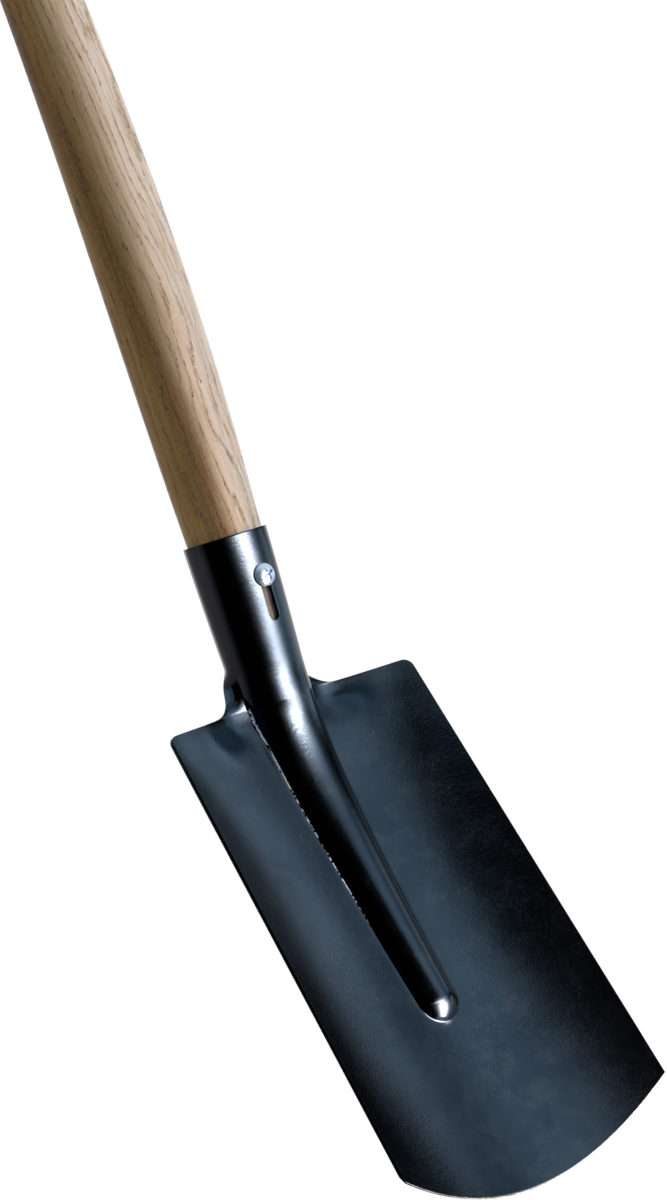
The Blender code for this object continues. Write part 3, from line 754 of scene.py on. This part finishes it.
def prism_piece(name, outline, front, back, lay):
    """An outline in x and z carried from front to back along y, closed at both ends."""
    count = len(outline)
    ring = np.arange(count)
    ahead = (ring + 1) % count
    x, z = outline.T
    ends = [np.stack([x, np.full(count, y), z], axis=-1) for y in (front, back)]
    faces = np.stack([ring, ring + count, ahead + count, ahead], axis=-1).tolist()
    faces += [ring.tolist(), (ring[::-1] + count).tolist()]
    return add_mesh(name, lay(np.concatenate(ends)), faces)


def take_out(piece, tool):
    """Cuts the tool's shape out of the piece for good, and takes the tool away."""
    cutting = piece.modifiers.new("cut", "BOOLEAN")
    cutting.solver = "EXACT"
    cutting.object = tool
    graph = bpy.context.evaluated_depsgraph_get()
    shape = bpy.data.meshes.new_from_object(piece.evaluated_get(graph))
    piece.modifiers.remove(cutting)
    piece.data = shape
    bpy.data.objects.remove(tool, do_unlink=True)


def mesh_points(piece):
    """The points of a piece's mesh, one row each."""
    points = np.empty(len(piece.data.vertices) * 3, np.float32)
    piece.data.vertices.foreach_get("co", points)
    return points.reshape(-1, 3).astype(float)


def before_bending(points):
    """Points of the shaft carried back to where they lay in the straight wood: by their angle
    round the arc's centre, held to the bend, and their distances square to it and along it."""
    start = GRIP_REACH - BEND_START - BEND_RUN
    radius = BEND_RUN / BEND
    level = radius - points[:, 1]
    down = -start - points[:, 2]
    turned = np.clip(np.arctan2(down, level), 0.0, BEND)
    deep = radius - level * np.cos(turned) - down * np.sin(turned)
    along = start + radius * turned + down * np.cos(turned) - level * np.sin(turned)
    return np.stack([points[:, 0], deep, -along], axis=-1)


def shaft_surface():
    """Rings of a circle carried along the centre line, then the tenon, whose top follows the
    grip's barrel."""
    turn = np.linspace(0.0, 2 * math.pi, SHAFT_SIDES, endpoint=False)
    top = GRIP_SEAT + FIT
    heights = np.concatenate(
        [
            [SHAFT_TOE, SHAFT_TOE + TOE_CHAMFER],
            np.linspace(SHAFT_TOE + TOE_CHAMFER, BELLY_HEIGHT, SWELL_RINGS)[1:],
            np.linspace(BELLY_HEIGHT, GRIP_REACH - top, HAND_RINGS)[1:],
        ]
    )
    radii = shaft_radius(heights)
    distance = GRIP_REACH - heights
    inner = radii[0] * np.linspace(CAP_CENTRE, 1.0, CAP_RINGS)[:-1]
    radii = np.concatenate([inner, radii])
    distance = np.concatenate([np.full(len(inner), distance[0]), distance])
    shoulder = np.linspace(NECK_RADIUS, TENON_RADIUS, SHOULDER_RINGS + 1)[1:]
    radii = np.concatenate([radii, shoulder, np.full(TENON_RINGS, TENON_RADIUS)])
    tenon = top - (top + TENON_RISE) * np.linspace(0.0, 1.0, TENON_RINGS + 1)[1:]
    distance = np.concatenate([distance, np.full(SHOULDER_RINGS, top), tenon])
    across = radii[:, None] * np.cos(turn)
    deep = radii[:, None] * np.sin(turn)
    y, z, turned = (part[:, None] for part in centre_line(distance))
    body = np.stack([across, y + deep * np.cos(turned), z + deep * np.sin(turned)], axis=-1)
    end = TENON_RADIUS * np.linspace(1.0, CAP_CENTRE, CAP_RINGS + 1)[:, None]
    across = end * np.cos(turn)
    deep = end * np.sin(turn)
    crown = np.stack([across, deep, np.sqrt(barrel_radius(across) ** 2 - deep**2)], axis=-1)
    return np.concatenate([body, crown])


shaft_rings = shaft_surface()
shaft_count = len(shaft_rings)
shaft_faces = ring_faces(shaft_count, SHAFT_SIDES).tolist()
shaft_faces.append(list(range(SHAFT_SIDES))[::-1])
shaft_faces.append(list(range((shaft_count - 1) * SHAFT_SIDES, shaft_count * SHAFT_SIDES)))
ash_shaft = add_mesh("ash_shaft", shaft_rings.reshape(-1, 3), shaft_faces)
screw_seat = float(socket_radius(SCREW_HEIGHT)) + FIT
bored = [SCREW_RADIUS + FIT, SCREW_RADIUS + FIT]
reach = [screw_seat + CUT_PAST, screw_seat - SCREW_LENGTH]
hole = turned_piece("screw_hole", bored, reach, SCREW_HOLE_SIDES, on_socket_front)
take_out(ash_shaft, hole)
bored = [PIN_RADIUS + FIT, PIN_RADIUS + FIT]
through = [BORE_REACH, -BORE_REACH]
take_out(ash_shaft, turned_piece("pin_hole", bored, through, PIN_HOLE_SIDES, across_y))
slope = (WEDGE_THICKNESS - WEDGE_TIP) / WEDGE_LENGTH / 2
kerf_levels = np.array([GRIP_MIDDLE_RADIUS + KERF_PAST, GRIP_MIDDLE_RADIUS - WEDGE_LENGTH])
kerf_halves = WEDGE_THICKNESS / 2 + FIT + slope * (kerf_levels - GRIP_MIDDLE_RADIUS - FIT)
kerf_x = np.array([1, -1, -1, 1]) * kerf_halves[[0, 0, 1, 1]]
kerf_sides = np.stack([kerf_x, kerf_levels[[0, 0, 1, 1]]], axis=-1)
take_out(ash_shaft, prism_piece("kerf", kerf_sides, -KERF_REACH, KERF_REACH, np.array))
add_attribute(ash_shaft, "grain", before_bending(mesh_points(ash_shaft)))
ash_shaft.data.set_sharp_from_angle(angle=SHARP_ANGLE)


# Colours of the oiled ash, its rings a metre, and where its pattern lies across the grain, in
# metres. The grain's own directions across the piece are turned from the world's.

ASH_WARM = (0.40, 0.230, 0.055)
# The next colour is partly painted light: the pale side faces the right softbox.
ASH_PALE_AND_PAINTED_LIGHT = (0.49, 0.430, 0.385)
ASH_HEART = (0.180, 0.080, 0.007)
ASH_STREAK = (0.25, 0.138, 0.042)
ASH_EARLY = (0.180, 0.098, 0.032)
ASH_RAY = (0.62, 0.48, 0.28)
ASH_PORE = (0.065, 0.036, 0.018)
# The next colour is painted shade, for the wood inside the socket.
PAINTED_SHADE_ASH = (0.09, 0.070, 0.045)
# The next colour is a painted shadow, on the right half of the wood seen through the slot.
PAINTED_SLOT_SHADOW = (0.004, 0.004, 0.005)
GRAIN_EAST = 0.766
GRAIN_NORTH = 0.643
GRAIN_SLANT = 0.065
PITH_DISTANCE = 0.065
RINGS = 210.0
HEART_PLACE = -0.0468
HEART_WIDTH = (0.0020, 0.0090)
PALE_PLACE = 0.0025
SHAFT_FADE = 0.0115
GRIP_FADE = 0.060
SOCKET_SHADE_FADE = 0.004
SLOT_SHADOW_PLACE = (0.0003, 0.0013)
ASH_RELIEF = 0.0003


def stretched(tree, place, share):
    """The vector with its third part times a share, which draws a pattern out along it."""
    values = {"Vector": place, "Scale": (1.0, 1.0, share)}
    return add_node(tree, "ShaderNodeMapping", {"vector_type": "VECTOR"}, values)


def ash_finish(name, fade):
    """Oiled ash. Across and deep lie square to the grain, which runs a few degrees off the
    piece's length. Rings round a pith beside it each open with a chain of coarse pores, a brown
    heart stripe wanders down one side, and fine pores and rays speckle the rest. Its colour goes
    from warm to pale across the piece, over twice the fade; the pale side, which faces the right
    softbox, is partly paler wood and partly painted light. Wood inside the socket is darkened with
    painted shade, and its right half blacked with a painted shadow of the slot's right edge."""
    finish, tree = new_finish(name)
    place = attribute(tree, "grain", 1)
    east, north, up = (place.part(axis) for axis in range(3))
    across = GRAIN_EAST * east - GRAIN_NORTH * north + GRAIN_SLANT * up
    deep = GRAIN_NORTH * east + GRAIN_EAST * north
    place = add_node(tree, "ShaderNodeCombineXYZ", None, {0: across, 1: deep, 2: up})
    slow = noise(tree, stretched(tree, place, 0.26), 34.0, 2.0, 0.5)
    ragged = noise(tree, stretched(tree, place, 0.14), 380.0, 3.0, 0.70)
    streak = noise(tree, stretched(tree, place, 0.04), 480.0, 3.0, 0.6)
    coarse = noise(tree, stretched(tree, place, 0.25), 1500.0, 2.0, 0.6)
    fine = noise(tree, stretched(tree, place, 0.16), 2600.0, 3.0, 0.75)
    from_pith = ((across - PITH_DISTANCE) ** 2 + deep * deep) ** 0.5
    ring = from_pith * RINGS + slow * 6.0 + ragged * 1.1
    early = 1 - ring.math("FRACT", ring).between(0.04, 0.30)
    beside = across - HEART_PLACE + (slow - 0.5) * 0.014 + (streak - 0.5) * 0.006
    heart = 1 - abs(beside).between(*HEART_WIDTH)
    # Partly painted light: the side facing the right softbox turns pale, over twice the fade.
    pale = (across - GRAIN_SLANT * up).between(PALE_PLACE - fade, PALE_PLACE + fade)
    colour = pale.blend(ASH_WARM, ASH_PALE_AND_PAINTED_LIGHT)
    brown = heart * (0.62 + 0.38 * streak.between(0.62, 0.42))
    colour = brown.blend(colour, ASH_HEART)
    colour = (streak.between(0.42, 0.70) * 0.55).blend(colour, ASH_STREAK)
    colour = (early * 0.54).blend(colour, ASH_EARLY)
    colour = (fine.between(0.46, 0.66) * 0.32).blend(colour, ASH_RAY)
    pores = coarse.between(0.50, 0.60) * (0.06 + 0.94 * early)
    colour = (pores * 0.74).blend(colour, ASH_PORE)
    mouth = SOCKET_LENGTH - GRIP_REACH
    # Painted shade: the wood below the socket's mouth, seen only through the slot, is darkened.
    soiled = up.between(mouth, mouth - SOCKET_SHADE_FADE)
    colour = (soiled * 0.80).blend(colour, PAINTED_SHADE_ASH)
    # Painted shadow: the right half of the wood inside the socket is blacked, where the slot's
    # right edge would shade it.
    colour = (soiled * east.between(*SLOT_SHADOW_PLACE)).blend(colour, PAINTED_SLOT_SHADOW)
    height = 1 - pores - 0.3 * fine - 0.2 * streak
    wood = {
        "Base Color": colour,
        "Roughness": 0.36 + 0.16 * pores + 0.12 * fine,
        "Normal": relief(tree, 0.6, ASH_RELIEF, height),
        "Specular IOR Level": 0.22,
        "Specular Tint": (0.74, 0.94, 1.0),
        "Sheen Weight": 0.20,
        "Sheen Roughness": 0.4,
        "Sheen Tint": (0.60, 0.84, 1.0),
    }
    return finish, tree, surface(tree, wood)


put_on(ash_shaft, *ash_finish("oiled_ash_shaft", SHAFT_FADE))
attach(ash_shaft, "root")
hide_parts("shaft")


# Socket screw. Steel with bluish zinc plating and a low round head, driven through the slot into
# the shaft, so that the head bears on the socket's front.

SCREW_HEAD_RADIUS = 0.0058
SCREW_HEAD_HEIGHT = 0.0036
SCREW_POINT = 0.006
SCREW_TIP = 0.0001
DOME_START = 0.03
DOME_POWER = 0.85
DOME_RINGS = 22
RECESS_SPAN = 0.0064
RECESS_WIDTH = 0.0014
RECESS_DEPTH = 0.0020
RECESS_TURN = math.radians(20)
SCREW_SIDES = 64
ZINC_DEEP = (0.30, 0.48, 0.68)
ZINC_LIGHT = (0.52, 0.68, 0.80)
ZINC_RELIEF = 0.0001

dome = np.linspace(DOME_START, math.pi / 2, DOME_RINGS)
head_radii = SCREW_HEAD_RADIUS * np.sin(dome) ** DOME_POWER
head_levels = screw_seat + SCREW_HEAD_HEIGHT * np.cos(dome)
shank_radii = [SCREW_RADIUS, SCREW_RADIUS, SCREW_TIP]
shank_levels = screw_seat - np.array([0.0, SCREW_LENGTH - SCREW_POINT, SCREW_LENGTH])
zinc_screw = turned_piece(
    "zinc_screw",
    np.concatenate([head_radii, shank_radii]),
    np.concatenate([head_levels, shank_levels]),
    SCREW_SIDES,
    on_socket_front,
)
arm = RECESS_SPAN / 2
side = RECESS_WIDTH / 2
corners = np.array([(arm, -side), (arm, side), (side, side)])
turns = RECESS_TURN + np.arange(4) * math.pi / 2
turned = np.array([(np.cos(turns), np.sin(turns)), (-np.sin(turns), np.cos(turns))])
cross = (corners @ turned.transpose(2, 0, 1)).reshape(-1, 2) + (0.0, SCREW_HEIGHT)
top = SOCKET_AXIS_BACK - screw_seat - SCREW_HEAD_HEIGHT
take_out(zinc_screw, prism_piece("recess", cross, top - CUT_PAST, top + RECESS_DEPTH, into_world))
zinc_screw.data.set_sharp_from_angle(angle=SHARP_ANGLE)

zinc, tree = new_finish("zinc_plate")
place = coordinates(tree, 3)
tint = noise(tree, place, 260.0, 2.0, 0.5)
scratch = noise(tree, place, 2400.0, 3.0, 0.6)
colour = tint.between(0.35, 0.65).blend(ZINC_DEEP, ZINC_LIGHT)
plating = {
    "Base Color": colour,
    "Metallic": 0.45,
    "Roughness": 0.24 + 0.14 * scratch,
    "Normal": relief(tree, 0.15, ZINC_RELIEF, scratch),
}
put_on(zinc_screw, zinc, tree, surface(tree, plating))
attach(zinc_screw, "root")
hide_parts("socket_screw")


# Grip. A barrel of ash turned across the shaft, bored through for the tenon and flattened a
# little where it sits on the shaft's shoulder.

GRIP_SIDES = 96
GRIP_RINGS = 41
ROUNDING_RINGS = 9
END_RINGS = 4
END_CENTRE = 0.03

end_turn = np.linspace(0.0, math.pi / 2, ROUNDING_RINGS)
straight = GRIP_LENGTH / 2 - GRIP_ROUNDING
rounded = straight + GRIP_ROUNDING * np.cos(end_turn)
half_grip = np.concatenate([rounded, np.linspace(straight, 0.0, GRIP_RINGS)[1:]])
grip_places = np.concatenate([half_grip, -half_grip[-2::-1]])
grip_radii = barrel_radius(grip_places)
end_shares = np.linspace(END_CENTRE, 1.0, END_RINGS + 1)[:-1]
end_rings = (GRIP_END_RADIUS - GRIP_ROUNDING) * end_shares
grip_end = np.full(END_RINGS, GRIP_LENGTH / 2)
grip_places = np.concatenate([grip_end, grip_places, -grip_end])
grip_radii = np.concatenate([end_rings, grip_radii, end_rings[::-1]])
ash_grip = turned_piece(
    "ash_grip", grip_radii, grip_places, GRIP_SIDES, lambda points: points[:, [2, 0, 1]]
)
bored = [TENON_RADIUS + FIT, TENON_RADIUS + FIT]
take_out(ash_grip, turned_piece("bore", bored, through, SHAFT_SIDES, np.array))
bored = [NECK_RADIUS + GRIP_SEAT_DEPTH, NECK_RADIUS + GRIP_SEAT_DEPTH]
reach = [-GRIP_SEAT, -BORE_REACH]
take_out(ash_grip, turned_piece("seat", bored, reach, SHAFT_SIDES, np.array))
bored = [PIN_RADIUS + FIT, PIN_RADIUS + FIT]
take_out(ash_grip, turned_piece("pin_hole", bored, through, PIN_HOLE_SIDES, across_y))
add_attribute(ash_grip, "grain", mesh_points(ash_grip)[:, [1, 2, 0]])
ash_grip.data.set_sharp_from_angle(angle=SHARP_ANGLE)
put_on(ash_grip, *ash_finish("oiled_ash_grip", GRIP_FADE))
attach(ash_grip, "root")
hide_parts("grip_crosspiece")


# Tenon wedge and grip pin. A beech wedge driven into the tenon's kerf, and a beech dowel through
# grip and tenon, both sawn and sanded flush.

BEECH = (0.60, 0.40, 0.24)
BEECH_FLECK = (0.46, 0.29, 0.17)

for node in ("tenon_wedge", "grip_pin"):
    finish, tree = new_finish("beech_" + node)
    place = stretched(tree, coordinates(tree, 3), 0.2)
    flecks = noise(tree, place, 1400.0, 3.0, 0.6)
    colour = flecks.between(0.40, 0.70).blend(BEECH, BEECH_FLECK)
    beech = {"Base Color": colour, "Roughness": 0.5 + 0.1 * flecks}
    put_on(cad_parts[node], finish, tree, surface(tree, beech))


# Floor and studio light. A plain pale floor under the blade, and a white world all round. Both are
# seen at a higher level than the one at which they light the spade.

FLOOR_DROP = 0.0008
FLOOR_REACH = 40.0
FLOOR_GREY = (0.22, 0.22, 0.22)
FLOOR_GLOW = 0.90
WHITE = (1.0, 1.0, 1.0)
SOFT_LEVEL = 0.50


def seen_ray(tree):
    """1 for rays from the camera, from a reflection or through glass, and 0 for the rest."""
    path, glossy, through = (
        add_node(tree, "ShaderNodeLightPath", None, None, output) for output in (0, 3, 6)
    )
    return path.larger(glossy.larger(through))


floor_level = min(corner[2] for corner in cad_box) - FLOOR_DROP
floor_corners = FLOOR_REACH * np.array([(-1.0, -1.0), (1.0, -1.0), (1.0, 1.0), (-1.0, 1.0)])
floor_points = np.column_stack([floor_corners, np.full(4, floor_level)])
floor = add_mesh("floor", floor_points, [(0, 1, 2, 3)])
paper, tree = new_finish("pale_floor")
cloth = add_node(tree, "ShaderNodeBsdfDiffuse", None, {"Color": FLOOR_GREY})
strength = seen_ray(tree) * FLOOR_GLOW
glow = add_node(tree, "ShaderNodeEmission", None, {"Color": WHITE, "Strength": strength})
put_on(floor, paper, tree, add_node(tree, "ShaderNodeAddShader", None, {0: cloth, 1: glow}))

world = bpy.data.worlds.new("studio")
bpy.context.scene.world = world
world.use_nodes = True
tree = world.node_tree
tree.nodes.clear()
strength = SOFT_LEVEL + (1 - SOFT_LEVEL) * seen_ray(tree)
sky = add_node(tree, "ShaderNodeBackground", None, {"Color": WHITE, "Strength": strength})
add_node(tree, "ShaderNodeOutputWorld", None, {"Surface": sky})


# Studio surround. A curved card round the spade and a lit sheet on the floor, which reflections
# alone see. Their bands are set so that the steel has the photograph's dark flank, soft sheen and
# long highlight on the rib. Places are degrees from -Y to +X, and heights in metres.

SURROUND_RADIUS = 3.4
SURROUND_TOP = 5.0
SURROUND_COLUMNS = 97
CARD_ROWS = 13
SHEET_ROWS = 12
SHEET_START = 0.06
SHEET_MARGIN = 0.01
CARD_LIFT = 0.001
SHEET_LIFT = 0.0004
KEY_AZIMUTH = 13.5
KEY_SPREAD = 18.5
KEY_LEVEL = 34.0
KEY_TINT = (1.52, 1.02, 0.84)
KEY_SHIFT = 9.0
KEY_LOW_SHIFT = 13.0
KEY_FOOT = 1.05
KEY_FALL = 0.20
GREY_EDGE = -9.0
GREY_EDGE_STEPS = ((18.0, -0.30, 0.10), (6.0, 0.30, 0.50), (-24.0, 0.68, 0.84))
GREY_LEVEL = 0.52
WINDOW_LEVEL = 0.43
SIDE_WINDOW_STEPS = ((0.48, -0.32, 0.0), (0.35, 0.08, 0.14), (-0.8, 0.20, 0.30))
HIGH_SIDE_LEVEL = 0.26
LOW_GREY_LEVEL = 1.10
BEHIND_LEVEL = 0.8
WARM_BEHIND_LEVEL = 0.28
OVERHEAD_LEVEL = 0.5
SHEET_LEVEL = 0.85


def key_lit(plain, key):
    """Plain white light, with the warmer light of the key on top."""
    warm = key.node("ShaderNodeVectorMath", {"operation": "SCALE"}, {0: KEY_TINT, "Scale": key})
    return key.node("ShaderNodeVectorMath", {"operation": "ADD"}, {0: plain, 1: warm})


def key_light(away):
    """The key's level: a bell curve over the degrees from its middle."""
    share = away / KEY_SPREAD
    return KEY_LEVEL * math.e ** (-1.0 * share * share)


def in_steps(start, height, steps):
    """The start plus each step's change, which comes in evenly between its two heights."""
    for change, low, high in steps:
        start = start + change * height.between(low, high)
    return start


def round_grid(outward):
    """Directions all round, repeated for each of some values, as two grids."""
    return np.meshgrid(np.radians(np.linspace(-180.0, 180.0, SURROUND_COLUMNS)), outward)


def round_place(tree):
    """Metres to +X and to -Y, height, and degrees from -Y to +X, on the card or the sheet."""
    place = coordinates(tree, 3)
    east = place.part(0)
    south = -1.0 * place.part(1)
    azimuth = east.math("ARCTAN2", east, south) * math.degrees(1.0)
    return east, south, place.part(2), azimuth


def add_card(name, finish_name, points):
    """A card from a grid of points, with its empty finish and the finish's tree."""
    index = np.arange(points[..., 0].size).reshape(points.shape[:2])
    piece = add_mesh(name, points.reshape(-1, 3), quads(index).reshape(-1, 4))
    return piece, *new_finish(finish_name)


def glowing(tree, colour):
    """A shader that gives off that colour."""
    return add_node(tree, "ShaderNodeEmission", None, {"Color": colour, "Strength": 1.0})


around, upward = round_grid(np.linspace(floor_level + CARD_LIFT, SURROUND_TOP, CARD_ROWS))
card_x = SURROUND_RADIUS * np.sin(around)
card_y = -SURROUND_RADIUS * np.cos(around)
card_points = np.stack([card_x, card_y, upward], axis=-1)
surround, finish, tree = add_card("surround", "surround_card", card_points)
_, _, rise, azimuth = round_place(tree)
edge = in_steps(GREY_EDGE, rise, GREY_EDGE_STEPS)
past = (azimuth + 16.0 * rise).between(75.5, 80.5)
grey = (azimuth - edge).between(-6.0, 6.0) * (1 - past * 0.6) * GREY_LEVEL
window = azimuth.between(12.0, 27.0) * (1 - azimuth.between(40.0, 52.0)) * WINDOW_LEVEL
beside = azimuth.between(58.0, 66.0) * (1 - past)
side_window = beside * in_steps(0.0, rise, SIDE_WINDOW_STEPS)
high_side = azimuth.between(60.0, 75.0) * (1 - azimuth.between(94.0, 104.0))
high_side = high_side * rise.between(0.0, 0.30) * HIGH_SIDE_LEVEL
low_grey = azimuth.between(50.0, 75.0) * (1 - rise.between(-0.88, -0.70)) * LOW_GREY_LEVEL
behind = azimuth.between(90.0, 106.0) * BEHIND_LEVEL
warm_behind = (-1.0 * azimuth).between(98.0, 122.0) * WARM_BEHIND_LEVEL
upper = 1 - rise.between(0.7, 1.4) * 0.45
dim_side = 1 - azimuth.between(40.0, 56.0) * (1 - rise.between(-0.35, -0.10)) * 0.6
dark_flank = 1 - azimuth.between(58.0, 68.0) * (1 - rise.between(-0.34, -0.16)) * 0.85
overhead = rise.between(2.0, 2.4) * (azimuth + 110.0).between(-10.0, 10.0) * OVERHEAD_LEVEL
lit = (grey + window) * upper * dim_side * dark_flank + side_window
lit = lit.larger(low_grey.larger(high_side)).larger(overhead).larger(behind)
low_shift = KEY_LOW_SHIFT * rise.between(-0.95, -0.65)
fading = math.e ** (-1.0 * (rise + KEY_FOOT) / KEY_FALL)
key = key_light(azimuth - KEY_AZIMUTH + KEY_SHIFT - low_shift) * fading + warm_behind
put_on(surround, finish, tree, glowing(tree, key_lit(lit, key)))

turn, out = round_grid(np.linspace(SHEET_START, SURROUND_RADIUS - SHEET_MARGIN, SHEET_ROWS))
level = 0 * out + floor_level + SHEET_LIFT
sheet_points = np.stack([out * np.sin(turn), -out * np.cos(turn), level], axis=-1)
lit_sheet, finish, tree = add_card("lit_sheet", "lit_sheet", sheet_points)
east, south, _, azimuth = round_place(tree)
distance = (east * east + south * south) ** 0.5
key = key_light(azimuth - KEY_AZIMUTH + KEY_SHIFT * distance.between(2.2, 3.2))
key = key * (0.38 + 0.62 * distance.between(1.9, 3.0) + 0.6 * (1 - distance.between(0.3, 0.8)))
white = (azimuth + 8.0).between(-8.0, 8.0) + (-1.0 * azimuth).between(110.0, 140.0)
put_on(lit_sheet, finish, tree, glowing(tree, key_lit(white * SHEET_LEVEL, key)))

for card in (surround, lit_sheet):
    card.visible_camera = False
    card.visible_diffuse = False
    card.visible_shadow = False
    card.visible_transmission = False


# Lamps. A large softbox on the right lights the wood, and one at the rear lights what the camera
# doesn't see. Reflections see neither.

SOFTBOX_SIZE = (1.0, 1.2)
SOFTBOX_DISTANCE = 1.6
SOFTBOX_ELEVATION = 14.0


def add_softbox(name, azimuth, radiance, aim):
    """A rectangular lamp in a direction from a point it is aimed at, azimuth from -Y to +X. Its
    power is four times its radiance times its area."""
    lamp = bpy.data.lights.new(name, "AREA")
    lamp.shape = "RECTANGLE"
    lamp.size, lamp.size_y = SOFTBOX_SIZE
    lamp.energy = 4 * radiance * SOFTBOX_SIZE[0] * SOFTBOX_SIZE[1]
    turn = math.radians(azimuth)
    rise = math.radians(SOFTBOX_ELEVATION)
    level = math.cos(rise)
    toward = np.array([math.sin(turn) * level, -math.cos(turn) * level, math.sin(rise)])
    side = np.array([math.cos(turn), math.sin(turn), 0.0])
    place = np.eye(4)
    place[:3, :3] = np.stack([side, np.cross(toward, side), toward], axis=-1)
    place[:3, 3] = np.array(aim) + SOFTBOX_DISTANCE * toward
    holder = bpy.data.objects.new(name, lamp)
    holder.matrix_world = Matrix(place.tolist())
    holder.visible_camera = False
    holder.visible_glossy = False
    bpy.context.scene.collection.objects.link(holder)


add_softbox("right_softbox", 42.0, 6.8, (0.0, 0.0, -0.60))
add_softbox("rear_softbox", 150.0, 4.5, (0.0, 0.0, -0.50))


# Camera. Long lens, low and to the left of the working face, rolled as in the photograph.

FOCAL_PIXELS = 5356.0
PICTURE_HEIGHT = 1200.0
SENSOR_WIDTH = 36.0
CAMERA_PLACE = (
    (0.73372, 0.23749, -0.63659, -1.62861),
    (-0.57706, -0.27680, -0.76837, -2.00885),
    (-0.35868, 0.93112, -0.06605, -0.93545),
    (0.0, 0.0, 0.0, 1.0),
)

camera_data = bpy.data.cameras.new("camera")
camera_data.sensor_fit = "AUTO"
camera_data.sensor_width = SENSOR_WIDTH
camera_data.lens = FOCAL_PIXELS * SENSOR_WIDTH / PICTURE_HEIGHT
camera_data.clip_end = 200.0
camera = bpy.data.objects.new("camera", camera_data)
bpy.context.scene.collection.objects.link(camera)
camera.matrix_world = Matrix(CAMERA_PLACE)
bpy.context.scene.camera = camera
bpy.context.scene.view_settings.view_transform = "Standard"
